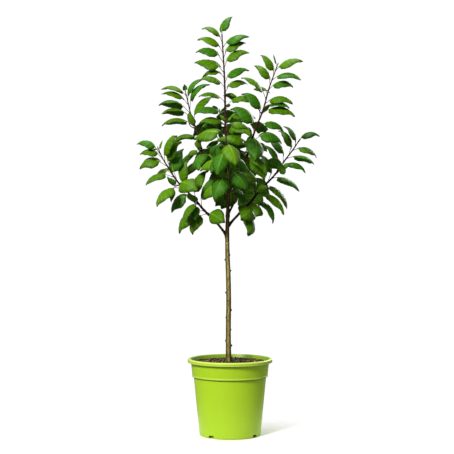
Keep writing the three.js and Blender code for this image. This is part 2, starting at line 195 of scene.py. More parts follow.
# Limbs: cubic curves from the trunk's line to the last bud. Each letter of "sides" is a leaf,
# from the lowest up, and gives the side of the stem that it grows to. "across" is a bough's
# thickness at its foot and at its last bud.
LIMBS = [STEM | limb for limb in (
    {
        "name": "leader", "seed": 11, "bare": 0.62,
        "sides": "RLRlBRrLRLBRLqRLRpLRLRLRLT",
        "curve": ((-4, 0, 209.1), (-7, 0, 520), (-2, 0, 800), (-23, -5, 1132)),
    },
    {
        "name": "lower_left", "seed": 31, "bare": 0.25,
        "sides": "FLRlRLBRLFRLpRLrLL", "across": (7.4, 2.4), "low": ((0.03, "L"),),
        "curve": ((-8, 0, 562), (-68, -11, 645), (-157, -44, 703), (-196, -62, 797)),
    },
    {
        "name": "lower_right", "seed": 35, "bare": 0.2,
        "sides": "FrRLRBRLRFLRpRLRLR", "across": (7.4, 2.4), "low": ((0, "r"), (0.02, "L")),
        "curve": ((-6, 0, 591), (67, 22, 669), (142, 46, 746), (200, 57, 839)),
    },
    {
        "name": "upper_left", "seed": 47, "bare": 0.36,
        "sides": "LFLBRLRqLRlLRLRL", "across": (6.6, 2.2),
        "curve": ((-8, 0, 665), (-67, 16, 759), (-101, 38, 866), (-127, 58, 972)),
    },
    {
        "name": "upper_right", "seed": 59, "bare": 0.25,
        "sides": "RrRLRFLRBLRrRLpRLRLR", "across": (6.6, 2.2),
        "curve": ((-4, 0, 687), (61, -14, 794), (87, -37, 916), (129, -52, 1031)),
    },
    {
        "name": "front", "seed": 63, "bare": 0.4, "slopes": (118, 106),
        "sides": "LRlrLRlrLR", "across": (6.4, 2.2), "curl": 92, "size": 0.97,
        "curve": ((-6, 0, 616), (-6, -62, 664), (-10, -122, 750), (-12, -156, 866)),
    },
    {
        "name": "back_low", "seed": 73, "bare": 0.38, "faces": -1, "slopes": (114, 84),
        "sides": "pqBLRpBqFpqBpq", "across": (6.8, 2.2),
        "curve": ((-7, 0, 618), (14, 76, 664), (38, 150, 730), (52, 196, 830)),
    },
    {
        "name": "back_high", "seed": 85, "bare": 0.22, "faces": -1, "slopes": (114, 84),
        "sides": "pBqRBpqFBpLqpq", "across": (6.2, 2.2),
        "curve": ((-6, 0, 706), (-8, 56, 762), (-20, 116, 840), (-30, 152, 926)),
    },
)]
LEADER, *BOUGHS = LIMBS
TRUNK_CENTRE = LEADER["curve"][0][:2]
TRUNK_FOOT_RADIUS = TRUNK_GIRTHS[0][1] / 2
# Radians of a limb's sway to the right and to the front along its length
SWAY_RIGHT = 17
SWAY_FRONT = 13
# Share of a limb's length that its direction is measured over
NEAR = 0.002
TOWARDS_VIEWER = np.array((0.0, -1.0, 0.0))

# Leaf sizes and places, as the solids have them
LEAF_LENGTH = 80
LEAF_LENGTH_SPREAD = 0.16
LEAF_HALF_WIDTH = 0.37
LEAF_OUTLINE = ((0, 0.1), (0.13, 0.78), (0.38, 1), (0.68, 0.72), (0.88, 0.28), (1, 0))
YOUNG_LEAF = 0.84
YOUNG_PART = 0.25
PETIOLE_LENGTH = 21
PETIOLE_SPREAD = 7
# Degrees round the stem from the viewer's right for each letter
LEAF_TURNS = {"R": 0, "r": 45, "F": 90, "l": 135, "L": 180, "p": 225, "B": 270, "q": 315, "T": 322}
TURN_SPREAD = 24
PETIOLE_SLOPE = 22
FACING_SLOPE = 28
TIP_LEAF_SLOPE = 34
SLOPE_SPREAD = 9
RAISED_LEAF = 1.1
FACING_CURL = 34
CURL_SPREAD = 16
FOLD = math.radians(26)
ROLL = 20
ROLL_SPREAD = 12
LIMB_ROOM = 4
LIMB_SPOTS = 80
LEAF_ROOM = 6.5
LEAF_SPOTS_ALONG = 10
LEAF_SPOTS_ASIDE = 3
LEAF_TRIES = 16
LEAF_APART = 4 * LEAF_LENGTH
CROWN_TOP = 1194
CROWN_RADIUS = 272

# Finer growth, which the solids leave out: spurs along each limb and leaflets at its tip
SPUR_LENGTH = 24
SPUR_PART = 0.8
SPUR_SHARES = (0.25, 0.55)
SPUR_ROOM = 4
SPUR_STRIDE = 8
SPUR_LEAN = 0.4
SPUR_RISE = 0.9
SPUR_SPREAD = 0.25
TIP_LENGTH = 11
# What is added to a limb's seed for each thing that is drawn apart from its main leaves
SPUR_LINE_SEED = 90
TIP_LINE_SEED = 95
SPUR_SEED = 300
LOW_LEAF_SEED = 500
BLADE_SEED = 700


# Growth rule

def seeded(seed):
    """Returns a function that draws numbers spread evenly from 0 to 1 by a linear
    congruential rule, the same on every run."""
    state = seed

    def draw():
        nonlocal state
        state = (state * 1664525 + 1013904223) % 4294967296
        return state / 4294967296

    return draw


def unit(vectors):
    """The same directions, one long."""
    return vectors / np.linalg.norm(vectors, axis=-1, keepdims=True)


def limb_points(limb, t):
    """Points of a limb's line, which wavers a little, less towards its ends."""
    t = np.asarray(t, float)[..., None]
    s = 1 - t
    a, b, c, d = np.array(limb["curve"], float)
    points = s * s * s * a + 3 * s * s * t * b + 3 * s * t * t * c + t * t * t * d
    waver = limb["waver"] * np.sin(np.pi * np.clip(t, 0, 1))
    right = np.sin(limb["seed"] + SWAY_RIGHT * t)
    front = np.cos(limb["seed"] + SWAY_FRONT * t)
    return points + waver * np.concatenate((right, front, 0 * t), axis=-1)


def limb_axes(limb, t):
    """Directions of a limb's line."""
    return unit(limb_points(limb, np.asarray(t) + NEAR) - limb_points(limb, np.asarray(t) - NEAR))


def limb_radii(limb, t):
    """Radii of a bough or twig, which taper evenly, or of the leader, from its girths."""
    if "across" in limb:
        base, tip = limb["across"]
        return (base + np.asarray(t) * (tip - base)) / 2
    heights, girths = zip(*TRUNK_GIRTHS)
    return np.interp(limb_points(limb, t)[..., 2], heights, girths) / 2


def sides_of(axes):
    """Right and front of a stem, as the viewer sees them."""
    right = unit(np.cross(axes, TOWARDS_VIEWER))
    return right, np.cross(right, axes)


def bent(start, end, length):
    """Offsets along and beside the stem after a bend from one angle to another."""
    half = (end - start) / 2
    chord = length * np.sinc(half / np.pi)
    return chord * np.cos(start + half), chord * np.sin(start + half)


def sprout(limb, share, letter, draw):
    """One leaf's build: where it leaves the stem, which way it grows, and its size."""
    t = limb["bare"] + share * (1 - limb["bare"])
    axis = limb_axes(limb, t)
    right, front = sides_of(axis)
    turn = math.radians(LEAF_TURNS[letter] + TURN_SPREAD * (2 * draw() - 1))
    aside = right * math.cos(turn) + front * math.sin(turn)
    hang = min(1, max(0, 1 - RAISED_LEAF * aside[2]))
    lowest, last = limb["slopes"]
    slope = last + (lowest - last) * (1 - share) * hang
    slope += FACING_SLOPE * abs(math.sin(turn)) * hang
    if letter == "T":
        slope = TIP_LEAF_SLOPE
    slope = math.radians(slope + SLOPE_SPREAD * (2 * draw() - 1))
    across = np.cross(aside, axis)
    flatter = FACING_CURL * abs(math.sin(turn))
    curl = math.radians(limb["curl"] - flatter + CURL_SPREAD * (2 * draw() - 1))
    facing = -across[1] * limb["faces"]
    roll = math.radians(ROLL * facing + ROLL_SPREAD * (2 * draw() - 1))
    young = 1 - (1 - YOUNG_LEAF) * max(0, 1 - (1 - share) / YOUNG_PART)
    length = LEAF_LENGTH * limb["size"] * young * (1 + LEAF_LENGTH_SPREAD * (2 * draw() - 1))
    petiole = limb["stalk"] * young * (PETIOLE_LENGTH + PETIOLE_SPREAD * (2 * draw() - 1))
    start = slope - curl / 2
    return {
        "root": limb_points(limb, t), "t": t, "axis": axis, "aside": aside,
        "across": across, "roll": roll, "length": length, "petiole": petiole,
        "angles": (start / 2 + math.radians(PETIOLE_SLOPE), start, start + curl),
    }


def leaf_frame(leaf, stalk, blade):
    """Centre, up and wide directions at shares of the petiole and of the blade."""
    start, middle, end = leaf["angles"]
    stalk_angle = start + (middle - start) * stalk
    angle = stalk_angle + (end - middle) * blade
    low = bent(start, stalk_angle, leaf["petiole"] * stalk)
    high = bent(stalk_angle, angle, leaf["length"] * blade)
    along, beside = ((a + b)[..., None] for a, b in zip(low, high))
    centre = leaf["root"] + leaf["axis"] * along + leaf["aside"] * beside
    angle = angle[..., None]
    level = leaf["axis"] * np.sin(angle) - leaf["aside"] * np.cos(angle)
    up = level * math.cos(leaf["roll"]) + leaf["across"] * math.sin(leaf["roll"])
    wide = leaf["across"] * math.cos(leaf["roll"]) - level * math.sin(leaf["roll"])
    return centre, up, wide


def blade_spots(leaf):
    """Test points spread over a blade."""
    along = np.arange(1, LEAF_SPOTS_ALONG + 1) / LEAF_SPOTS_ALONG
    aside = np.arange(-LEAF_SPOTS_ASIDE, LEAF_SPOTS_ASIDE + 1) / LEAF_SPOTS_ASIDE
    reach, side = (grid.ravel() for grid in np.meshgrid(along, aside, indexing="ij"))
    centre, up, wide = leaf_frame(leaf, np.ones_like(reach), reach)
    half = leaf["length"] * LEAF_HALF_WIDTH * np.interp(reach, *zip(*LEAF_OUTLINE))
    spread = (side * half * math.cos(FOLD))[:, None]
    droop = (np.abs(side) * half * math.sin(FOLD))[:, None]
    return centre + wide * spread - up * droop


def touches(spots, others, room):
    """Whether any spot lies nearer to another than the room between them."""
    apart = spots[:, None] - others[None]
    return bool(((apart * apart).sum(-1) < room * room).any())


def has_room(leaf, taken):
    """Whether a leaf clears the limbs, the leaves grown so far and the crown's bounds."""
    limb_spots, limb_rooms, grown = taken
    spots = leaf["spots"]
    if spots[:, 2].max() > CROWN_TOP or np.hypot(spots[:, 0], spots[:, 1]).max() > CROWN_RADIUS:
        return False
    if touches(spots, limb_spots, limb_rooms):
        return False
    near = [
        other["spots"] for other in grown
        if np.linalg.norm(other["root"] - leaf["root"]) <= LEAF_APART]
    if not near:
        return True
    others = np.concatenate(near)
    low = spots.min(0) - LEAF_ROOM
    high = spots.max(0) + LEAF_ROOM
    others = others[((others > low) & (others < high)).all(1)]
    return not touches(spots, others, LEAF_ROOM)


def put_out(stem, buds, draw, taken):
    """A stem puts out a leaf from each bud, a share and a letter, as far as they find room."""
    leaves = []
    for share, letter in buds:
        for _ in range(LEAF_TRIES):
            leaf = sprout(stem, share, letter, draw)
            leaf["spots"] = blade_spots(leaf)
            if has_room(leaf, taken):
                taken[-1].append(leaf)
                leaves.append(leaf)
                break
    return leaves


def buds_of(stem):
    """A stem's buds, spread evenly over the part that is in leaf."""
    sides = stem["sides"]
    return [((i + 0.5) / len(sides), letter) for i, letter in enumerate(sides)]


def spur_of(limb, share, draw):
    """A short side twig with a few small leaves."""
    t = share + (1 - share) * SPUR_PART * limb["bare"]
    root, axis = limb_points(limb, t), limb_axes(limb, t)
    right, front = sides_of(axis)
    turn = 2 * math.pi * draw()
    out = unit(SPUR_LEAN * axis + right * math.cos(turn) + front * math.sin(turn))
    up = unit(out + (0, 0, SPUR_RISE))
    length = SPUR_LENGTH * (1 - SPUR_SPREAD + 2 * SPUR_SPREAD * draw())
    curve = (root, root + out * length * 0.3, root + out * length * 0.6, root + (out + up) * length * 0.5)
    return STEM | {
        "seed": limb["seed"] + SPUR_LINE_SEED, "faces": limb["faces"], "slopes": (84, 56),
        "sides": "RLT", "across": (2.6, 1.8), "curve": curve, "curl": 84, "size": 0.5,
        "stalk": 0.5, "waver": 0.4,
    }


def tip_of(limb):
    """The youngest end of a limb, with leaflets that have just unfolded."""
    root, axis = limb_points(limb, 1.0), limb_axes(limb, 1.0)
    curve = [root + axis * TIP_LENGTH * part for part in (-0.1, 0.3, 0.6, 1)]
    return STEM | {
        "seed": limb["seed"] + TIP_LINE_SEED, "bare": 0.2, "faces": limb["faces"],
        "slopes": (58, 30), "sides": "RLFB", "across": (2.2, 1.5), "curve": curve, "curl": 50,
        "size": 0.3, "stalk": 0.3, "waver": 0,
    }


def grow_crown():
    """Each limb's stems with their leaves: itself, its spurs and its tip. All limbs put out
    their own leaves first, so that these stand where the solids have them."""
    steps = np.arange(LIMB_SPOTS + 1) / LIMB_SPOTS
    limb_spots = np.concatenate([limb_points(limb, steps) for limb in LIMBS])
    limb_rooms = np.concatenate([limb_radii(limb, steps) + LIMB_ROOM for limb in LIMBS])
    grown = []
    taken = (limb_spots, limb_rooms, grown)
    own = {limb["name"]: put_out(limb, buds_of(limb), seeded(limb["seed"]), taken) for limb in LIMBS}
    for limb in LIMBS:
        own[limb["name"]] += put_out(limb, limb["low"], seeded(limb["seed"] + LOW_LEAF_SEED), taken)
    crown = {}
    for limb in LIMBS:
        crown[limb["name"]] = [(limb, own[limb["name"]])]
        draw = seeded(limb["seed"] + SPUR_SEED)
        stems = [spur_of(limb, share, draw) for share in SPUR_SHARES]
        stems.append(tip_of(limb))
        for stem in stems:
            line = limb_points(stem, steps[::SPUR_STRIDE])
            if touches(line, np.concatenate([leaf["spots"] for leaf in grown]), SPUR_ROOM):
                continue
            leaves = put_out(stem, buds_of(stem), draw, taken)
            if leaves:
                crown[limb["name"]].append((stem, leaves))
    return crown


# Materials

def srgb(code):
    """Linear red, green and blue of an sRGB hex colour."""
    values = [int(code[i:i + 2], 16) / 255 for i in (1, 3, 5)]
    return tuple(v / 12.92 if v <= 0.04045 else ((v + 0.055) / 1.055) ** 2.4 for v in values)


def tinted(colour, share=1):
    """A linear colour with a share of its light, as a node takes it."""
    return (*(part * share for part in colour[:3]), 1)


def add(tree, kind, inputs, out=0, **settings):
    """Adds a node with its settings and returns one of its outputs. An input that is a socket
    is linked, a hex colour is turned to linear, and any other is set."""
    node = tree.nodes.new("ShaderNode" + kind)
    for name, value in settings.items():
        setattr(node, name, value)
    for name, value in inputs.items():
        socket = node.inputs[name]
        if isinstance(value, bpy.types.NodeSocket):
            tree.links.new(value, socket)
        else:
            socket.default_value = tinted(srgb(value)) if isinstance(value, str) else value
    return node.outputs[out] if node.outputs else None


def new_material(name):
    """A material with an empty tree, and its object coordinates."""
    made = bpy.data.materials.new(name)
    made.use_nodes = True
    tree = made.node_tree
    tree.nodes.clear()
    return made, tree, add(tree, "TexCoord", {}, out="Object")


def close_material(tree, inputs):
    """Ends a material with its surface."""
    add(tree, "OutputMaterial", {"Surface": add(tree, "BsdfPrincipled", inputs)})


def coats(tree, tint, *rows):
    """Lays colours over a first one. Each row gives the socket that a coat follows, the
    values where it starts and is full, its strength there and its colour."""
    for value, start, full, most, colour in rows:
        share = add(tree, "MapRange", {
            "Value": value, "From Min": start, "From Max": full, "To Max": most})
        tint = add(tree, "Mix", {0: share, 6: tint, 7: colour}, out=2, data_type="RGBA")
    return tint


def per_metre(size_mm):
    """Noise scale whose features are about that many millimetres across."""
    return 1 / (size_mm * MM)


def moulded_polypropylene(colour):
    """Injection-moulded polypropylene: an even satin skin with a soft, waxy gloss, with painted
    highlights and painted shade round the lip and the bead and inside the lip.
    """
    made, tree, place = new_material("moulded_polypropylene")
    # Broad uneven cooling and a fine mould grain, drawn at 1.2 mm so that it shows
    cooling = add(tree, "TexNoise", {"Vector": place, "Scale": per_metre(60), "Detail": 2})
    grain = add(tree, "TexNoise", {"Vector": place, "Scale": per_metre(1.2), "Detail": 3})
    tint = coats(tree, tinted(colour), (cooling, 0, 1, 1, tinted(colour, 0.93)))
    height = add(tree, "SeparateXYZ", {"Vector": place}, out="Z")
    # Painted highlights and painted shadow in lines round the lip and the bead
    for edge, low, high, code, most in POT_PAINTED_LIGHT:
        above = add(tree, "MapRange", {
            "Value": height, "From Min": edge * MM, "From Max": low * MM})
        below = add(tree, "MapRange", {
            "Value": height, "From Min": (high + low - edge) * MM, "From Max": high * MM})
        line = add(tree, "Math", {0: above, 1: below}, operation="MULTIPLY")
        tint = coats(tree, tint, (line, 0, 1, most, code))
    # Painted shade darkens the inside of the lip, where the inner wall lies in shade
    flat = add(tree, "VectorMath", {0: place, 1: (1, 1, 0)}, operation="MULTIPLY")
    out = add(tree, "VectorMath", {0: flat}, out="Value", operation="LENGTH")
    inner = add(tree, "MapRange", {
        "Value": out, "From Min": (LIP_INSIDE + 3) * MM, "From Max": (LIP_INSIDE + 1) * MM})
    above = add(tree, "MapRange", {
        "Value": height, "From Min": LIP_FOOT * MM, "From Max": (LIP_FOOT + 1) * MM})
    dull = add(tree, "Math", {0: inner, 1: above}, operation="MULTIPLY")
    tint = coats(tree, tint, (dull, 0, 1, 0.55, "#4A7206"))
    close_material(tree, {
        "Base Color": tint,
        "Roughness": add(tree, "MapRange", {"Value": cooling, "To Min": 0.36, "To Max": 0.44}),
        "Normal": add(tree, "Bump", {"Height": grain, "Strength": 0.12, "Distance": 0.2 * MM}),
        "IOR": 1.49, "Specular IOR Level": 0.28, "Subsurface Weight": 0.06,
        "Subsurface Radius": (4 * MM, 6 * MM, 1 * MM), "Subsurface Scale": 1})
    return made


def damp_compost(name, dark, pale):
    """Peat-like potting compost, damp: dark, rough, with paler drier crumbs."""
    made, tree, place = new_material(name)
    lumps = add(tree, "TexNoise", {"Vector": place, "Scale": per_metre(5), "Detail": 4})
    fibres = add(tree, "TexNoise", {"Vector": place, "Scale": per_metre(1.4), "Detail": 2})
    close_material(tree, {
        "Base Color": coats(tree, dark, (lumps, 0.45, 0.72, 1, pale)), "Roughness": 0.92,
        "Normal": add(tree, "Bump", {"Height": fibres, "Strength": 0.7, "Distance": 0.8 * MM}),
        "Specular IOR Level": 0.3})
    return made


def young_bark(name, pale, dark, upper, upper_from, upper_to, rings=()):
    """Smooth young pear bark: tan with fine dark streaks and pale lenticels, and painted shade on
    its sides, dark brown where it faces right and olive where it faces left. It turns to the
    upper colour between two heights."""
    made, tree, place = new_material(name)
    # Streaks are 1.5 mm across and about eight times as long
    along = add(tree, "Mapping", {"Vector": place, "Scale": (1, 1, 0.12)})
    streaks = add(tree, "TexNoise", {"Vector": along, "Scale": per_metre(1.5), "Detail": 4})
    patches = add(tree, "TexNoise", {"Vector": place, "Scale": per_metre(14), "Detail": 3})
    lenticels = add(tree, "TexVoronoi", {"Vector": place, "Scale": per_metre(6)})
    facing = add(tree, "TexCoord", {}, out="Normal")
    side = add(tree, "SeparateXYZ", {"Vector": facing}, out="X")
    height = add(tree, "SeparateXYZ", {"Vector": place}, out="Z")
    tint = coats(
        tree, pale,
        (streaks, 0.42, 0.66, 1, dark),
        (patches, 0.4, 0.7, 0.6, dark),
        (height, upper_from, upper_to, 0.85, upper),
        # Painted shade: bark that faces right is darkened to brown, bark that faces left to olive
        (side, 0.05, 0.65, 0.9, "#2E220B"),
        (side, -0.1, -0.65, 0.9, "#34310E"),
        (lenticels, 0.14, 0.07, 0.6, "#B3A577"))
    for level in rings:
        away = add(tree, "Math", {0: height, 1: level * MM}, operation="SUBTRACT")
        away = add(tree, "Math", {0: away}, operation="ABSOLUTE")
        tint = coats(tree, tint, (away, 2.2 * MM, 0.9 * MM, 0.5, "#B2A66C"))
    close_material(tree, {
        "Base Color": tint, "Roughness": 0.75,
        "Normal": add(tree, "Bump", {"Height": streaks, "Strength": 0.45, "Distance": 0.6 * MM}),
        "Specular IOR Level": 0.1})
    return made


def shoot_skin(name, colour, shade):
    """Thin smooth skin of this year's shoots and buds, slightly waxy."""
    made, tree, place = new_material(name)
    patches = add(tree, "TexNoise", {"Vector": place, "Scale": per_metre(9), "Detail": 3})
    close_material(tree, {
        "Base Color": coats(tree, colour, (patches, 0, 1, 1, shade)), "Roughness": 0.55,
        "Normal": add(tree, "Bump", {"Height": patches, "Strength": 0.2, "Distance": 0.3 * MM}),
        "Specular IOR Level": 0.15})
    return made


def leaf_skin(name, colour, vein_colour, roughness, vein_share):
    """A living leaf's skin: waxy and glossy above, dull below, with a net of paler veins and
    painted shade that darkens it towards the rim."""
    made, tree, place = new_material(name)
    net = add(tree, "UVMap", {}, uv_map="blade")
    row = add(tree, "SeparateXYZ", {"Vector": net}, out="X")
    side = add(tree, "SeparateXYZ", {"Vector": net}, out="Y")
    # Side veins follow every other row of the blade's net
    stripe = add(tree, "Math", {0: row, 1: BLADE_ROWS}, operation="MULTIPLY")
    stripe = add(tree, "Math", {0: stripe, 1: 1}, operation="PINGPONG")
    side_vein = add(tree, "MapRange", {"Value": stripe, "From Min": 0.16, "From Max": 0.04})
    offset = add(tree, "Math", {0: side, 1: 0.5}, operation="SUBTRACT")
    offset = add(tree, "Math", {0: offset}, operation="ABSOLUTE")
    midrib = add(tree, "MapRange", {"Value": offset, "From Min": 0.05, "From Max": 0.02})
    vein = add(tree, "Math", {0: side_vein, 1: midrib}, operation="MAXIMUM")
    patches = add(tree, "TexNoise", {"Vector": place, "Scale": per_metre(22), "Detail": 3})
    puckers = add(tree, "TexNoise", {"Vector": place, "Scale": per_metre(4), "Detail": 2})
    tint = coats(
        tree, colour,
        (patches, 0, 1, 1, tinted(srgb(colour), 0.72)),
        # Painted shade darkens the blade from part-way out to its rim
        (offset, 0.28, 0.5, 0.75, tinted(srgb(colour), 0.45)),
        (vein, 0, 1, vein_share, vein_colour))
    relief = add(tree, "Math", {0: puckers, 1: vein}, operation="SUBTRACT")
    close_material(tree, {
        "Base Color": tint,
        "Roughness": add(tree, "MapRange", {
            "Value": patches, "To Min": roughness - 0.05, "To Max": roughness + 0.08}),
        "Normal": add(tree, "Bump", {"Height": relief, "Strength": 0.35, "Distance": 0.8 * MM}),
        "IOR": 1.4, "Specular IOR Level": 0.17, "Sheen Weight": 0.1, "Sheen Roughness": 0.35,
        "Sheen Tint": "#D2E060", "Subsurface Weight": 0.1,
        "Subsurface Radius": (0.6 * MM, 1 * MM, 0.2 * MM), "Subsurface Scale": 1})
    return made


def studio_paper(colour, near, far):
    """Matt white paper that fades out into the white round it, from near to far metres."""
    made, tree, place = new_material("studio_paper")
    out = add(tree, "VectorMath", {0: place}, out="Value", operation="LENGTH")
    close_material(tree, {
        "Base Color": tinted(colour), "Roughness": 0.95,
        "Alpha": add(tree, "MapRange", {"Value": out, "From Min": far, "From Max": near})})
    return made


def studio_room(room, wall):
    """World that is seen as plain white paper all round and lights the tree as a dimmer room."""
    world = bpy.data.worlds.new("studio")
    world.use_nodes = True
    tree = world.node_tree
    tree.nodes.clear()
    seen = add(tree, "LightPath", {}, out="Is Camera Ray")
    strength = add(tree, "MapRange", {"Value": seen, "To Min": room, "To Max": wall})
    light = add(tree, "Background", {"Color": "#FFFFFF", "Strength": strength})
    add(tree, "OutputWorld", {"Surface": light})
    return world


# Mesh helpers

def put_in_scene(name, data):
    """Links a new object with its data."""
    thing = bpy.data.objects.new(name, data)
    bpy.context.scene.collection.objects.link(thing)
    return thing


def place_piece(mesh, materials, slot, *nodes):
    """Makes a finished mesh a piece that rides with the tree and stands for its solids."""
    piece = put_in_scene(mesh.name, mesh)
    for material in materials:
        mesh.materials.append(material)
    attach(piece, BODY)
    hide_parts(*nodes)
    return piece


def mesh_of(shape, name):
    """Smooth mesh from a bmesh."""
    mesh = bpy.data.meshes.new(name)
    shape.to_mesh(mesh)
    shape.free()
    mesh.polygons.foreach_set("use_smooth", [True] * len(mesh.polygons))
    return mesh


def skin(shape, sides, steps, place):
    """Rolls a grid up into a closed tube. place() takes arrays of the share of the turn and
    the share of the way along, and returns points in millimetres."""
    grid = bmesh.ops.create_grid(shape, x_segments=sides, y_segments=steps, size=0.5)["verts"]
    flat = np.array([v.co for v in grid])
    points = place(flat[:, 0] + 0.5, flat[:, 1] + 0.5) * MM
    for vert, point in zip(grid, points):
        vert.co = point
    ends = {v for v, at in zip(grid, flat) if abs(at[1]) > 0.5 - 1e-6}
    bmesh.ops.remove_doubles(shape, verts=grid, dist=1e-7)
    rims = [e for e in shape.edges if e.is_boundary and all(v in ends for v in e.verts)]
    bmesh.ops.holes_fill(shape, edges=rims, sides=sides)
    bmesh.ops.recalc_face_normals(shape, faces=shape.faces)


def round_limb(limb, t, turn, radii):
    """Points round a limb's line at the given radii."""
    right, front = sides_of(limb_axes(limb, t))
    angle = 2 * np.pi * turn
    ring = right * np.cos(angle)[:, None] + front * np.sin(angle)[:, None]
    return limb_points(limb, t) + ring * radii[:, None]


def roughness_of(points, size, seed):
    """Smooth noise from -1 to 1 at points in millimetres, with lumps of that size."""
    shift = Vector((seed, 2 * seed, 3 * seed))
    return np.array([noise.noise(Vector(p) / size + shift) for p in points])


def arc(centre, radius, start, end, steps):
    """Points of an arc in the profile plane, angles in degrees."""
    angles = np.radians(np.linspace(start, end, steps + 1))
    return [(centre[0] + radius * math.cos(a), centre[1] + radius * math.sin(a)) for a in angles]


def spun(profile, steps):
    """Bmesh of a closed profile, in millimetres from the axis and up, spun round the Z axis."""
    shape = bmesh.new()
    verts = [shape.verts.new((r * MM, 0, z * MM)) for r, z in profile]
    edges = [shape.edges.new(pair) for pair in zip(verts, verts[1:])]
    bmesh.ops.spin(
        shape, geom=verts + edges, cent=(0, 0, 0), axis=(0, 0, 1), angle=2 * math.pi,
        steps=steps, use_merge=True)
    bmesh.ops.remove_doubles(shape, verts=shape.verts, dist=1e-6)
    bmesh.ops.recalc_face_normals(shape, faces=shape.faces)
    return shape


# Settings

LENGTH = {"subtype": "DISTANCE", "unit": "LENGTH"}


class PearPotSettings(bpy.types.PropertyGroup):
    """Nursery pot."""

    colour: FloatVectorProperty(
        name="Colour", description="Colour of the moulded plastic", subtype="COLOR",
        default=srgb("#9ABD1D"), min=0, max=1)
    wall: FloatProperty(
        name="Wall", description="Thickness of the pot's wall", default=2 * MM,
        min=0.5 * MM, max=4 * MM, **LENGTH)
    steps: IntProperty(
        name="Steps", description="Faces round the pot", default=144, min=24, max=360)


class PearCompostSettings(bpy.types.PropertyGroup):
    """Compost in the pot."""

    relief: FloatProperty(
        name="Relief", description="Height of the surface lumps", default=2.2 * MM, min=0,
        max=6 * MM, **LENGTH)
    crumbs: IntProperty(
        name="Crumbs", description="Loose crumbs on the surface", default=620, min=0, max=3000)
    chips: IntProperty(
        name="Chips", description="Loose slivers of bark on the surface", default=150, min=0, max=1000)


class PearBarkSettings(bpy.types.PropertyGroup):
    """Bark of the trunk and boughs."""

    relief: FloatProperty(
        name="Relief", description="Height of the bark's ridges", default=0.28 * MM, min=0,
        max=2 * MM, **LENGTH)
    trunk_sides: IntProperty(
        name="Trunk sides", description="Faces round the trunk", default=40, min=8, max=96)
    bough_sides: IntProperty(
        name="Bough sides", description="Faces round each bough", default=20, min=6, max=64)


class PearLeafSettings(bpy.types.PropertyGroup):
    """Leaves of the crown."""

    thickness: FloatProperty(
        name="Thickness", description="Thickness of a leaf blade", default=0.45 * MM,
        min=0.1 * MM, max=2 * MM, **LENGTH)
    wave: FloatProperty(
        name="Wave", description="How far the blade's edge waves up and down",
        default=1.5 * MM, min=0, max=6 * MM, **LENGTH)
    tooth: FloatProperty(
        name="Tooth", description="Depth of the teeth along the edge, as a share of the half width",
        subtype="FACTOR", default=0.045, min=0, max=0.2)


class PearStageSettings(bpy.types.PropertyGroup):
    """Studio round the tree."""

    paper: FloatVectorProperty(
        name="Paper", description="Colour of the floor", subtype="COLOR", default=srgb("#FCFCFC"),
        min=0, max=1)
    camera_place: FloatVectorProperty(
        name="Camera", description="Place of the camera", subtype="TRANSLATION", unit="LENGTH",
        default=(-8.5 * MM, -3259 * MM, 588 * MM))
    lens: FloatProperty(
        name="Lens", description="Focal length in millimetres on a 36 mm sensor", default=91.2,
        min=20, max=300)


# Pot

def pot_profile(wall):
    """Outline of the pot's wall from the axis below, up the outside and down the inside."""
    outside = [(0, 0)]
    outside += arc((BODY_FOOT_RADIUS + 1 - FOOT_ROUND, FOOT_ROUND), FOOT_ROUND, -90, -8, 6)
    outside += arc((BODY_TOP_RADIUS - LEDGE_ROUND, BODY_TOP_HEIGHT), LEDGE_ROUND, -6, 60, 3)
    outside += arc((COLLAR_FOOT_RADIUS - 1.2, COLLAR_FOOT_HEIGHT - 0.6), BEAD_ROUND, -80, 60, 6)
    outside += [(COLLAR_FOOT_RADIUS - 0.1, COLLAR_FOOT_HEIGHT + 3.4)]
    outside += [(COLLAR_TOP_RADIUS, LIP_FOOT - 1.5)]
    outside += arc((COLLAR_TOP_RADIUS + HOLLOW_ROUND, LIP_FOOT - HOLLOW_ROUND), HOLLOW_ROUND, 180, 100, 3)
    outside += arc((LIP_RADIUS - UNDER_ROUND, LIP_FOOT + UNDER_ROUND), UNDER_ROUND, -90, -10, 4)
    outside += arc((LIP_RADIUS - LIP_ROUND, POT_HEIGHT - LIP_ROUND), LIP_ROUND, 5, 90, 7)
    outside += arc((LIP_INSIDE + INNER_ROUND, POT_HEIGHT - INNER_ROUND), INNER_ROUND, 90, 165, 4)
    inside = [
        (COLLAR_TOP_RADIUS - wall, LIP_FOOT - 1),
        (COLLAR_FOOT_RADIUS - wall, COLLAR_FOOT_HEIGHT),
        (BODY_TOP_RADIUS - wall, BODY_TOP_HEIGHT - 1),
    ]
    inside += arc((BODY_FOOT_RADIUS - wall - 5, wall + 6), 5.4, 0, -90, 5)
    inside += [(0, wall + 0.2)]
    return outside + inside


def cut_away(piece, cutter):
    """Cuts one mesh out of another and removes the cutter."""
    cut = piece.modifiers.new("cut", "BOOLEAN")
    cut.operation = "DIFFERENCE"
    cut.solver = "EXACT"
    cut.object = cutter
    depsgraph = bpy.context.evaluated_depsgraph_get()
    mesh = bpy.data.meshes.new_from_object(piece.evaluated_get(depsgraph))
    piece.modifiers.clear()
    piece.data = mesh
    bpy.data.objects.remove(cutter)


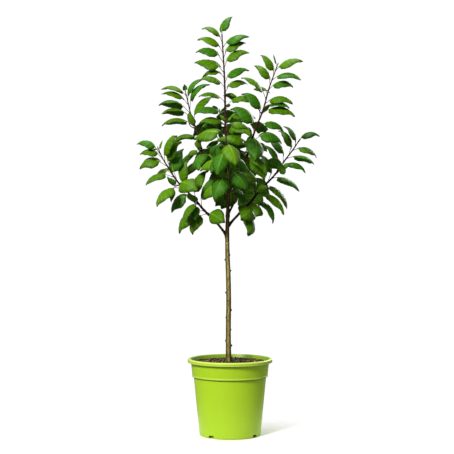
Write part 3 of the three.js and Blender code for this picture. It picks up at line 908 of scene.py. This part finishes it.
def drain_cutter():
    """Notches round the foot and holes through the floor, as one mesh."""
    shape = bmesh.new()
    for i in range(NOTCH_COUNT):
        turn = Matrix.Rotation(math.radians(NOTCH_TURN + i * 360 / NOTCH_COUNT), 4, "Z")
        size = Matrix.Diagonal((*(side * MM for side in NOTCH_SIZE), 1))
        place = turn @ Matrix.Translation((0, -BODY_FOOT_RADIUS * MM, 0)) @ size
        outward = turn @ Vector((0, -1, 0))
        made = bmesh.ops.create_cube(shape, size=1, matrix=place)["verts"]
        edges = {e for v in made for e in v.link_edges}
        edges = [e for e in edges if abs((e.verts[1].co - e.verts[0].co).normalized() @ outward) > 0.9]
        bmesh.ops.bevel(
            shape, geom=edges, offset=NOTCH_CORNER * MM, offset_type="OFFSET", affect="EDGES", segments=4,
            profile=0.5, material=-1)
    for ring, count in DRAIN_RINGS:
        for i in range(count):
            turn = Matrix.Rotation(math.radians((i + 0.5) * 360 / count), 4, "Z")
            place = turn @ Matrix.Translation((ring * MM, 0, 0))
            bmesh.ops.create_cone(
                shape, cap_ends=True, segments=20, radius1=DRAIN_RADIUS * MM,
                radius2=DRAIN_RADIUS * MM, depth=DRAIN_DEPTH * MM, matrix=place)
    return put_in_scene("drain_cutter", mesh_of(shape, "drain_cutter"))


class OBJECT_OT_pear_pot(bpy.types.Operator):
    """Spins the nursery pot with its rolled lip, collar, foot notches and drain holes"""

    bl_idname = "object.pear_pot"
    bl_label = "Pot"

    def execute(self, context):
        settings = context.scene.pear_pot
        mesh = mesh_of(spun(pot_profile(settings.wall / MM), settings.steps), "pot_shell")
        piece = place_piece(mesh, [moulded_polypropylene(settings.colour)], "pot", "pot")
        cut_away(piece, drain_cutter())
        piece.data.set_sharp_from_angle(angle=math.radians(POT_CREASE))
        return {"FINISHED"}


# Compost

def compost_height(x, y):
    """Height of the compost's surface in millimetres, without its lumps."""
    out = np.hypot(x, y)
    mound = MOUND_HEIGHT * np.clip(1 - out / MOUND_RADIUS, 0, 1)
    return COMPOST_TOP - COMPOST_SINK + mound


def compost_lumps(points, relief):
    """How far the lumps raise the surface at each point."""
    coarse = roughness_of(points, size=11, seed=3)
    fine = roughness_of(points, size=4.2, seed=8)
    return relief * (0.55 * coarse + 0.6 * fine)


def compost_body(relief, wall):
    """Closed body that fills the pot, with a lumpy surface."""
    inset = wall + WALL_GAP
    rings = np.linspace(0, COMPOST_RADIUS - 0.2, COMPOST_RINGS)
    profile = [(float(r), COMPOST_TOP) for r in rings]
    profile += [
        (COMPOST_RADIUS - 0.6, COMPOST_TOP - 4),
        (COLLAR_FOOT_RADIUS - inset, COLLAR_FOOT_HEIGHT),
        (BODY_TOP_RADIUS - inset, BODY_TOP_HEIGHT - 1),
        (BODY_FOOT_RADIUS - inset, 16),
        (BODY_FOOT_RADIUS - inset - 14, 12),
        (BODY_FOOT_RADIUS - inset - 16, wall + FLOOR_GAP),
        (0, wall + FLOOR_GAP),
    ]
    shape = spun(profile, COMPOST_STEPS)
    top = [v for v in shape.verts if v.co.z > (COMPOST_TOP - 0.5) * MM]
    points = np.array([v.co for v in top]) / MM
    heights = compost_height(points[:, 0], points[:, 1]) + compost_lumps(points, relief)
    for vert, height in zip(top, heights):
        vert.co.z = height * MM
    return mesh_of(shape, "compost_body")


def pattern_of(shape):
    """Vertices and faces of a small shape that is repeated many times."""
    shape.verts.index_update()
    points = np.array([v.co for v in shape.verts])
    faces = [[v.index for v in f.verts] for f in shape.faces]
    shape.free()
    return points, faces


def lump_pattern():
    """A small rough lump, one unit across."""
    shape = bmesh.new()
    bmesh.ops.create_icosphere(shape, subdivisions=1, radius=0.5)
    return pattern_of(shape)


def sliver_pattern():
    """A thin pointed sliver, one unit long."""
    shape = bmesh.new()
    bmesh.ops.create_cone(
        shape, cap_ends=True, segments=5, radius1=0.11, radius2=0.03, depth=1.0,
        matrix=Matrix.Rotation(math.pi / 2, 4, "Y"))
    return pattern_of(shape)


def rod_pattern(sides, steps):
    """A round rod one unit in radius and length, standing on its foot."""
    shape = bmesh.new()

    def place(turn, along):
        angle = 2 * np.pi * turn
        return np.stack((np.cos(angle), np.sin(angle), along), axis=-1) / MM

    skin(shape, sides, steps, place)
    return pattern_of(shape)


def joined_mesh(name, parts, smooth=True):
    """One mesh from many small ones, each with its points in millimetres, its faces and the
    material of each face."""
    points = np.concatenate([part[0] for part in parts]) * MM
    starts = np.cumsum([0] + [len(part[0]) for part in parts])
    faces = [[start + i for i in face] for start, part in zip(starts, parts) for face in part[1]]
    kinds = [kind for part in parts for kind in part[2]]
    mesh = bpy.data.meshes.new(name)
    mesh.from_pydata(points, [], faces)
    mesh.polygons.foreach_set("material_index", kinds)
    mesh.polygons.foreach_set("use_smooth", [smooth] * len(faces))
    return mesh


def scattered(name, pattern, count, kind, draw, relief):
    """Copies of one small shape strewn over the compost, in three materials."""
    base, faces = pattern
    (least, most), lean = kind
    parts = []
    # Small pieces are the commonest, and so is the first material
    for i in range(count):
        size = least + (most - least) * draw() ** 2.5
        out = (COMPOST_RADIUS - LOOSE_MARGIN - size / 2) * math.sqrt(draw())
        turn = 2 * math.pi * draw()
        x, y = out * math.cos(turn), out * math.sin(turn)
        if math.hypot(x - TRUNK_CENTRE[0], y - TRUNK_CENTRE[1]) < TRUNK_FOOT_RADIUS + size / 3:
            continue
        tilt = Euler((lean * (draw() - 0.5), lean * (draw() - 0.5), 2 * math.pi * draw()))
        rough = 1 + LOOSE_ROUGHNESS * roughness_of(base * 2, size=1, seed=5 * i)[:, None]
        points = (base * rough * size) @ np.array(tilt.to_matrix()).T
        spot = np.array([[x, y, COMPOST_TOP]])
        level = compost_height(x, y) + compost_lumps(spot, relief)[0] + LOOSE_LIFT * size
        parts.append((points + (x, y, level), faces, [int(3 * draw() ** 1.4)] * len(faces)))
    return joined_mesh(name, parts, smooth=False)


class OBJECT_OT_pear_compost(bpy.types.Operator):
    """Heaps the compost in the pot and strews crumbs and bark slivers over it"""

    bl_idname = "object.pear_compost"
    bl_label = "Compost"

    def execute(self, context):
        settings = context.scene.pear_compost
        relief = settings.relief / MM
        wall = context.scene.pear_pot.wall / MM
        dark = damp_compost("damp_compost", "#171105", "#3E310C")
        brown = damp_compost("dry_compost", "#45370E", "#6A5820")
        pale = damp_compost("bark_fibre", "#7E6C34", "#B4A264")
        place_piece(compost_body(relief, wall), [dark], "compost", "compost")
        draw = seeded(COMPOST_SEED)
        crumbs = scattered("compost_crumbs", lump_pattern(), settings.crumbs, CRUMBS, draw, relief)
        place_piece(crumbs, [dark, brown, pale], "compost", "compost")
        chips = scattered("compost_chips", sliver_pattern(), settings.chips, CHIPS, draw, relief)
        place_piece(chips, [pale, brown, dark], "compost", "compost")
        return {"FINISHED"}


# Trunk and boughs

def bump_at(points, centre, size):
    """A round bump, one high at its centre."""
    return np.exp(-((points - centre) ** 2).sum(-1) / (2 * size * size))


def trunk_radii(t, turn, relief):
    """Radii of the trunk with its ridges, flare, scars, rings and bough collars."""
    smooth = limb_radii(LEADER, t)
    points = round_limb(LEADER, t, turn, smooth)
    ridges = roughness_of(points * (1, 1, 0.16), size=2.2, seed=1)
    rough = ridges + 0.7 * roughness_of(points, size=7, seed=2)
    radii = smooth + relief * rough
    above_foot = points[:, 2] - TRUNK_LOW.z / MM
    flare = FLARE * np.exp(-np.clip(above_foot, 0, None) / FLARE_HEIGHT)
    radii += flare * (0.5 + 0.5 * np.cos(2 * np.pi * turn * FLARE_LOBES + 0.8))
    for height, level in TRUNK_RINGS:
        above = points[:, 2] - height
        radii += level * np.exp(-(above / RING_REACH) ** 2)
        radii -= GROOVE_SHARE * level * np.exp(-((above - GROOVE_RISE) / GROOVE_REACH) ** 2)
    for height, side, size in TRUNK_SCARS:
        spot = scar_spot(height, side)
        radii += size * bump_at(points, spot, SCAR_REACH + SCAR_GROWTH * size)
        radii -= DENT_SHARE * size * bump_at(points, spot + (0, 0, DENT_RISE * size), DENT_REACH)
    for limb in BOUGHS:
        girth = limb["across"][0]
        spot = limb_points(limb, 0.0) + limb_axes(limb, 0.0) * (girth * 0.9)
        radii += TRUNK_COLLAR * bump_at(points, spot, girth * 0.8)
    return radii


def scar_spot(height, side):
    """Point on the trunk's face at a height, turned by degrees from the viewer's right."""
    where = np.array([np.interp(height, *scar_heights())])
    return round_limb(LEADER, where, np.array([side / 360]), limb_radii(LEADER, where))[0]


def trunk_mesh(sides, relief):
    """The trunk from just inside the compost to where the leader's leaves begin."""
    shape = bmesh.new()
    length = TRUNK_HIGH.z / MM - TRUNK_LOW.z / MM

    def place(turn, along):
        t = BARK_START + along * (LEADER["bare"] + BARK_OVERLAP - BARK_START)
        return round_limb(LEADER, t, turn, trunk_radii(t, turn, relief))

    skin(shape, sides, round(length / TRUNK_STEP), place)
    return mesh_of(shape, "trunk_bark")


def scar_mesh():
    """The dark dormant buds that sit in the trunk's scars."""
    rod = rod_pattern(BUD_SIDES, len(BUD_REACH) - 1)
    parts = []
    for height, side, size in TRUNK_SCARS:
        seat = scar_spot(height, side)
        centre = limb_points(LEADER, np.interp(height, *scar_heights()))
        out = unit((seat - centre) * (1, 1, 0))
        up = np.array((0, 0, 1.0))
        seat = seat + out * SCAR_BUD_OUT * size - up * size
        length, girth = (share * size for share in SCAR_BUD)
        parts.append(bud_part(seat, up, out, length, girth, rod))
    return joined_mesh("trunk_bud_scars", parts)


def scar_heights():
    """Heights along the leader and the shares of its length that they stand at."""
    steps = np.linspace(0, 1, HEIGHT_STEPS)
    return limb_points(LEADER, steps)[:, 2], steps


def bough_mesh(limb, sides, relief):
    """A bough from inside the trunk to where its leaves begin, with a collar at its foot."""
    shape = bmesh.new()
    length = np.linalg.norm(limb_points(limb, limb["bare"]) - limb_points(limb, 0.0))

    def place(turn, along):
        t = along * (limb["bare"] + BARK_OVERLAP)
        smooth = limb_radii(limb, t)
        points = round_limb(limb, t, turn, smooth)
        run = np.linalg.norm(limb_points(limb, t) - limb_points(limb, 0.0), axis=-1)
        collar = BOUGH_COLLAR * np.exp(-np.clip(run - COLLAR_FULL, 0, None) / COLLAR_FADE)
        ringed = BOUGH_RING * np.exp(-((run - BOUGH_RING_SHARE * length) / BOUGH_RING_REACH) ** 2)
        fine = roughness_of(points, size=3.2, seed=4)
        rough = relief * (fine + 0.6 * roughness_of(points, size=9, seed=6))
        return round_limb(limb, t, turn, smooth + collar + ringed + rough)

    skin(shape, sides, max(12, round(length / BOUGH_STEP)), place)
    return mesh_of(shape, limb["name"] + "_bark")


class OBJECT_OT_pear_bark(bpy.types.Operator):
    """Raises the bark of the trunk and of each bough, with bud scars, rings and collars"""

    bl_idname = "object.pear_bark"
    bl_label = "Trunk and boughs"

    def execute(self, context):
        settings = context.scene.pear_bark
        relief = settings.relief / MM
        trunk = young_bark(
            "trunk_bark", "#AC9D58", "#66512A", "#5E5226", 0.5, 0.66, rings=[TRUNK_RINGS[0][0]])
        bough = young_bark("bough_bark", "#5E4824", "#33230F", "#4A3A1A", 0.5, 0.56)
        scar = shoot_skin("bud_scar", "#241A0A", "#140E05")
        place_piece(trunk_mesh(settings.trunk_sides, relief), [trunk], "bark", "trunk")
        place_piece(scar_mesh(), [scar], "bark", "trunk")
        for limb in BOUGHS:
            mesh = bough_mesh(limb, settings.bough_sides, relief)
            place_piece(mesh, [bough], "bark", limb["name"] + "_bough")
        return {"FINISHED"}


# Shoots, petioles and buds

SHOOT_BARK = 0.3
SHOOT_SIDES = 10
SHOOT_STEP = 2.4
NODE_WIDTH = 2.6
NODE_SWELLING = 0.22


def shoot_mesh(stems, name):
    """The leafy stems of a limb, swollen a little where each leaf stands."""
    shape = bmesh.new()
    for stem, leaves in stems:
        start = stem["bare"] if "name" in stem else 0
        length = np.linalg.norm(limb_points(stem, 1.0) - limb_points(stem, start))
        nodes = np.array([leaf["t"] for leaf in leaves])
        width = NODE_WIDTH / length * (1 - start)

        def place(turn, along):
            t = start + along * (1 - start)
            swelling = np.exp(-((t[:, None] - nodes[None]) / width) ** 2).sum(-1)
            swollen = 1 + NODE_SWELLING * np.clip(swelling, 0, 1)
            return round_limb(stem, t, turn, (limb_radii(stem, t) + SHOOT_BARK) * swollen)

        skin(shape, SHOOT_SIDES, max(4, round(length / SHOOT_STEP)), place)
    return mesh_of(shape, name)


# Petiole and midrib: shares of the stalk and of the blade reached at each step of the rod,
# and the radius there in millimetres
STALK_REACH = (0, 0.12, 0.3, 0.6, 0.9, 1, 1, 1, 1, 1, 1)
BLADE_REACH = (0, 0, 0, 0, 0, 0, 0.12, 0.3, 0.5, 0.7, 0.86)
STALK_RADIUS = (1.6, 1.2, 0.85, 0.8, 0.85, 1, 0.85, 0.65, 0.5, 0.36, 0.22)
STALK_STEPS = len(STALK_REACH) - 1
STALK_SIDES = 6
# How far the petiole and the midrib lie below the leaf's middle line, and the least share of
# its thickness that a small leaf's stalk keeps
PETIOLE_DROP = 0.3
MIDRIB_DROP = 0.5
LEAST_STALK = 0.25

# Bud: shares of its length and of its radius, from its seat to its tip
BUD_REACH = (0, 0.25, 0.55, 0.8, 1)
BUD_GIRTH = (0.6, 1, 0.85, 0.45, 0.05)
BUD_SIDES = 7
# How far a bud leans out from its stem, and the least share of its size that it keeps above
# a small leaf
BUD_LEAN = 0.35
LEAST_BUD = 0.3
# Length and radius of a bud above a petiole, at a stem's tip and on a bough's bare wood
LEAF_BUD = (4.6, 1.3)
TIP_BUD = (6.5, 1.7)
WOOD_BUD = (5, 1.7)
# Buds on a bough's bare wood: share of it, and turn from the viewer's right
BARE_BUDS = ((0.45, 0.3), (0.72, 0.55), (0.9, 0.05))


def petiole_part(leaf, rod):
    """A leaf's stalk, which runs on below its blade as the midrib."""
    points, faces = rod
    step = np.round(points[:, 2] * STALK_STEPS).astype(int)
    stalk, blade, radius = (np.array(row)[step] for row in (STALK_REACH, BLADE_REACH, STALK_RADIUS))
    centre, up, wide = leaf_frame(leaf, stalk, blade)
    centre = centre - up * np.where(blade > 0, MIDRIB_DROP, PETIOLE_DROP)[:, None]
    radius = radius * min(1, LEAST_STALK + leaf["length"] / LEAF_LENGTH)
    round_it = up * (points[:, 1] * radius)[:, None] - wide * (points[:, 0] * radius)[:, None]
    middle = [np.mean([blade[i] for i in face]) for face in faces]
    return centre + round_it, faces, [1 if reach > 0.02 else 0 for reach in middle]


def bud_part(seat, axis, out, length, radius, rod):
    """A pointed bud on its seat, leaning out from the stem's axis."""
    points, faces = rod
    lean = unit(axis + BUD_LEAN * out)
    right = unit(np.cross(out, lean))
    front = np.cross(lean, right)
    step = np.round(points[:, 2] * (len(BUD_REACH) - 1)).astype(int)
    reach = np.array(BUD_REACH)[step][:, None] * length
    girth = np.array(BUD_GIRTH)[step][:, None] * radius
    ring = right * points[:, :1] * girth + front * points[:, 1:2] * girth
    return seat + lean * reach + ring, faces, [0] * len(faces)


def stem_buds(stem, leaves, rod):
    """A bud above each petiole, one at the tip, and a few on a bough's bare wood."""
    parts = []
    for leaf in leaves:
        radius = limb_radii(stem, leaf["t"])
        seat = leaf["root"] + leaf["aside"] * radius * 0.7 + leaf["axis"] * 1.6
        plump = min(1, LEAST_BUD + leaf["length"] / LEAF_LENGTH)
        length, girth = (plump * size for size in LEAF_BUD)
        parts.append(bud_part(seat, leaf["axis"], leaf["aside"], length, girth, rod))
    axis = limb_axes(stem, 1.0)
    right = sides_of(axis)[0]
    parts.append(bud_part(limb_points(stem, 1.0) - axis, axis, 0.2 * right, *TIP_BUD, rod))
    if not any(stem is bough for bough in BOUGHS):
        return parts
    for share, turn in BARE_BUDS:
        t = stem["bare"] * share
        right, front = sides_of(limb_axes(stem, t))
        out = right * math.cos(2 * math.pi * turn) + front * math.sin(2 * math.pi * turn)
        seat = limb_points(stem, t) + out * limb_radii(stem, t) * 0.8
        parts.append(bud_part(seat, limb_axes(stem, t), out, *WOOD_BUD, rod))
    return parts


class OBJECT_OT_pear_shoots(bpy.types.Operator):
    """Grows the leafy ends of the limbs with their petioles and buds"""

    bl_idname = "object.pear_shoots"
    bl_label = "Shoots and petioles"

    def execute(self, context):
        shoot = shoot_skin("shoot_skin", "#3C1606", "#200B03")
        bud = shoot_skin("bud_scales", "#4E3220", "#26170C")
        petiole = shoot_skin("petiole_skin", "#463410", "#381C0C")
        midrib = shoot_skin("midrib_skin", "#8FAE52", "#769A3C")
        stalk_rod = rod_pattern(STALK_SIDES, STALK_STEPS)
        bud_rod = rod_pattern(BUD_SIDES, len(BUD_REACH) - 1)
        for limb in LIMBS:
            name = limb["name"]
            stems = CROWN[name]
            node = name + "_foliage"
            place_piece(shoot_mesh(stems, name + "_shoot"), [shoot], "foliage", node)
            stalks = [petiole_part(leaf, stalk_rod) for _, leaves in stems for leaf in leaves]
            place_piece(joined_mesh(name + "_petioles", stalks), [petiole, midrib], "foliage", node)
            buds = [part for stem, leaves in stems for part in stem_buds(stem, leaves, bud_rod)]
            place_piece(joined_mesh(name + "_buds", buds), [bud], "foliage", node)
        return {"FINISHED"}


# Leaves

BLADE_ROWS = 12
BLADE_COLUMNS = (-1, -0.68, -0.33, 0, 0.33, 0.68, 1)
# How far the side veins sweep forward, how far the lobes of the base reach back and where on
# the midrib the first row starts, all in shares of the blade
VEIN_SWEEP = 0.27
LOBE = 0.05
BLADE_START = 0.012
# Half waves along the blade's edge
EDGE_WAVES = 4.4
# Height of the puckers between the veins, in millimetres
PUCKER = 0.5
# Three greens of leaf, each with its face, its veins and the share of leaves up to it. Each
# has two materials, its face and its underside, and the dark tip's follow them.
GREENS = (
    ("deep", "#336A0A", "#6C9A2A", 0.44),
    ("mid", "#467302", "#7EA624", 0.92),
    ("light", "#528002", "#8EAE2E", 1),
)
TIP_KIND = 2 * len(GREENS)


def smooth_step(low, high, value):
    """Share of the way from low to high, eased at both ends."""
    share = np.clip((value - low) / (high - low), 0, 1)
    return share * share * (3 - 2 * share)


def margin_reach(q):
    """How far along the blade the side vein from q on the midrib meets the margin."""
    return q + VEIN_SWEEP * np.sin(np.pi * q) - LOBE * (1 - q) ** 6


def margin_width(reach):
    """Half width of the blade at a reach: a broad round base and a drawn-out tip."""
    share = np.clip((reach + LOBE) / (1 + LOBE), 0, 1)
    bulge = np.sin(np.pi * share ** 0.666) ** 0.55
    return 1.06 * bulge * (1 - 0.4 * smooth_step(0.7, 0.95, reach))


def blade_pattern():
    """A flat net for one blade: its rows follow the side veins and run from the midrib to
    the margin, which has a tooth at each vein. X is the vein row, Y is across."""
    shape = bmesh.new()
    bmesh.ops.create_grid(
        shape, x_segments=BLADE_ROWS, y_segments=len(BLADE_COLUMNS) - 1, size=0.5,
        matrix=Matrix.Translation((0.5, 0, 0)))
    rims = [e for e in shape.edges if all(abs(v.co.y) > 0.49 for v in e.verts)]
    bmesh.ops.subdivide_edges(shape, edges=rims, cuts=1)
    steps = np.linspace(-0.5, 0.5, len(BLADE_COLUMNS))
    for vert in shape.verts:
        vert.co.y = np.interp(vert.co.y, steps, BLADE_COLUMNS)
        if vert.co.x > 0.999:
            vert.co.y = 0
    bmesh.ops.remove_doubles(shape, verts=shape.verts, dist=1e-5)
    bmesh.ops.reverse_faces(shape, faces=shape.faces)
    return pattern_of(shape)


def blade_part(leaf, kind, tip_rows, wave, tooth, phase, net):
    """One blade: roof-shaped, puckered between its side veins, waved and toothed at its edge."""
    points, faces = net
    row, side = points[:, 0], points[:, 1]
    across = np.abs(side)
    between = np.abs(row * BLADE_ROWS - np.round(row * BLADE_ROWS)) > 0.25
    q = BLADE_START + (1 - BLADE_START) * row
    margin = margin_reach(q)
    reach = q + (margin - q) * across ** 1.2
    centre, up, wide = leaf_frame(leaf, np.ones_like(reach), reach)
    half = leaf["length"] * LEAF_HALF_WIDTH * margin_width(margin) * np.where(between, 1 - tooth, 1)
    spread = np.sign(side) * half * math.cos(FOLD) * across * (1 + 0.12 * (1 - across))
    droop = half * math.sin(FOLD) * across ** 1.35
    wave = wave * leaf["length"] / LEAF_LENGTH
    edge = wave * across ** 3 * np.sin(EDGE_WAVES * np.pi * q + phase + np.sign(side)) * np.sin(np.pi * q)
    inner = (across > 0.1) & (across < 0.9)
    pucker = PUCKER * leaf["length"] / LEAF_LENGTH
    ridge = np.where(inner, pucker * -np.cos(np.pi * BLADE_ROWS * row), 0)
    placed = centre + wide * spread[:, None] + up * (edge + ridge - droop)[:, None]
    tip = 1 - tip_rows / BLADE_ROWS - 1e-3
    kinds = [TIP_KIND if min(row[i] for i in face) > tip else kind for face in faces]
    return placed, faces, kinds


def kind_of(chance):
    """Nearly half the leaves are deep green, as many are mid green and a few are light."""
    return 2 * sum(chance >= most for *_, most in GREENS)


def leaves_mesh(limb, leaves, settings, net):
    """All the blades of one limb, each vertex with its place in its blade as UV."""
    draw = seeded(limb["seed"] + BLADE_SEED)
    parts = [
        blade_part(
            leaf, kind_of(draw()), 1 + round(draw()), settings.wave / MM, settings.tooth,
            2 * math.pi * draw(), net)
        for leaf in leaves]
    mesh = joined_mesh(limb["name"] + "_leaves", parts)
    places = np.tile(np.stack((net[0][:, 0], 0.5 + 0.5 * net[0][:, 1]), axis=1), (len(leaves), 1))
    layer = mesh.uv_layers.new(name="blade")
    corners = np.zeros(len(mesh.loops), np.int32)
    mesh.loops.foreach_get("vertex_index", corners)
    layer.data.foreach_set("uv", places[corners].astype(np.float32).ravel())
    return mesh


class OBJECT_OT_pear_leaves(bpy.types.Operator):
    """Puts out the leaves of every limb"""

    bl_idname = "object.pear_leaves"
    bl_label = "Leaves"

    def execute(self, context):
        settings = context.scene.pear_leaves
        skins = []
        for name, upper, vein, _ in GREENS:
            skins.append(leaf_skin(name + "_leaf_face", upper, vein, 0.4, 0.28))
            skins.append(leaf_skin(name + "_leaf_back", "#498014", "#82A83C", 0.62, 0.4))
        tip = leaf_skin("leaf_tip", "#2B260A", "#3A3210", 0.6, 0.2)
        skins += [tip, tip]
        net = blade_pattern()
        for limb in LIMBS:
            leaves = [leaf for _, grown in CROWN[limb["name"]] for leaf in grown]
            mesh = leaves_mesh(limb, leaves, settings, net)
            piece = place_piece(mesh, skins, "foliage", limb["name"] + "_foliage")
            blade = piece.modifiers.new("blade", "SOLIDIFY")
            blade.thickness = settings.thickness
            blade.offset = -1
            blade.material_offset = 1
            blade.use_quality_normals = True
        return {"FINISHED"}


# Stage

FLOOR_RADIUS = 3
FLOOR_FADE = (0.14, 0.45)
ROOM_LIGHT = 0.3
WALL_LIGHT = 1.03
CROWN_CENTRE = Vector((0, 0, 0.75))
# Soft lights: place, width, power and tint
LIGHTS = {
    "key_light": ((-1.5, -2.5, 2.3), 1.0, 165, (1, 0.985, 0.95)),
    "top_light": ((0, 0.2, 3.2), 1.4, 54, (1, 1, 0.98)),
    "back_light": ((1.4, 2.6, 1.7), 1.8, 62, (1, 1, 0.98)),
}


def soft_light(name, place, width, power, tint):
    """A round light that shines on the crown."""
    lamp = bpy.data.lights.new(name, "AREA")
    lamp.shape = "DISK"
    lamp.size = width
    lamp.energy = power
    lamp.color = tint
    holder = put_in_scene(name, lamp)
    holder.location = place
    holder.rotation_euler = (CROWN_CENTRE - Vector(place)).to_track_quat("-Z", "Y").to_euler()


class OBJECT_OT_pear_stage(bpy.types.Operator):
    """Sets the white studio, its soft lights and the camera"""

    bl_idname = "object.pear_stage"
    bl_label = "Stage"

    def execute(self, context):
        settings = context.scene.pear_stage
        scene = context.scene
        shape = bmesh.new()
        bmesh.ops.create_circle(shape, cap_ends=True, segments=96, radius=FLOOR_RADIUS)
        mesh = mesh_of(shape, "studio_floor")
        mesh.materials.append(studio_paper(settings.paper, *FLOOR_FADE))
        floor = put_in_scene("studio_floor", mesh)

        scene.world = studio_room(ROOM_LIGHT, WALL_LIGHT)
        scene.view_settings.view_transform = "Standard"
        scene.view_settings.look = "None"
        for name, light in LIGHTS.items():
            soft_light(name, *light)

        lens = bpy.data.cameras.new("camera")
        lens.sensor_width = 36
        lens.lens = settings.lens
        camera = put_in_scene("camera", lens)
        camera.location = settings.camera_place
        camera.rotation_euler = (math.pi / 2, 0, 0)
        scene.camera = camera
        return {"FINISHED"}


# Add-on

class VIEW3D_PT_pear_tree(bpy.types.Panel):
    """Lists the pieces of the tree and their settings"""

    bl_label = "Pear Tree"
    bl_idname = "VIEW3D_PT_pear_tree"
    bl_space_type = "VIEW_3D"
    bl_region_type = "UI"
    bl_category = "Pear Tree"

    def draw(self, context):
        for operator, group in STEPS:
            box = self.layout.box()
            box.operator(operator.bl_idname)
            if group:
                settings = getattr(context.scene, group)
                for name in settings.bl_rna.properties.keys():
                    if name not in ("rna_type", "name"):
                        box.prop(settings, name)


SETTINGS = {
    "pear_pot": PearPotSettings,
    "pear_compost": PearCompostSettings,
    "pear_bark": PearBarkSettings,
    "pear_leaves": PearLeafSettings,
    "pear_stage": PearStageSettings,
}
# Each step of the making in order, with the settings that it reads
STEPS = (
    (OBJECT_OT_pear_stage, "pear_stage"),
    (OBJECT_OT_pear_pot, "pear_pot"),
    (OBJECT_OT_pear_compost, "pear_compost"),
    (OBJECT_OT_pear_bark, "pear_bark"),
    (OBJECT_OT_pear_shoots, None),
    (OBJECT_OT_pear_leaves, "pear_leaves"),
)
CROWN = grow_crown()


def register():
    for group in SETTINGS.values():
        bpy.utils.register_class(group)
    for operator, _ in STEPS:
        bpy.utils.register_class(operator)
    bpy.utils.register_class(VIEW3D_PT_pear_tree)
    for name, group in SETTINGS.items():
        setattr(bpy.types.Scene, name, PointerProperty(type=group))


def unregister():
    for name in SETTINGS:
        delattr(bpy.types.Scene, name)
    bpy.utils.unregister_class(VIEW3D_PT_pear_tree)
    for operator, _ in reversed(STEPS):
        bpy.utils.unregister_class(operator)
    for group in reversed(SETTINGS.values()):
        bpy.utils.unregister_class(group)


def main():
    register()
    bpy.ops.object.pear_stage()
    bpy.ops.object.pear_pot()
    bpy.ops.object.pear_compost()
    bpy.ops.object.pear_bark()
    bpy.ops.object.pear_shoots()
    bpy.ops.object.pear_leaves()


if __name__ == "__main__":
    main()
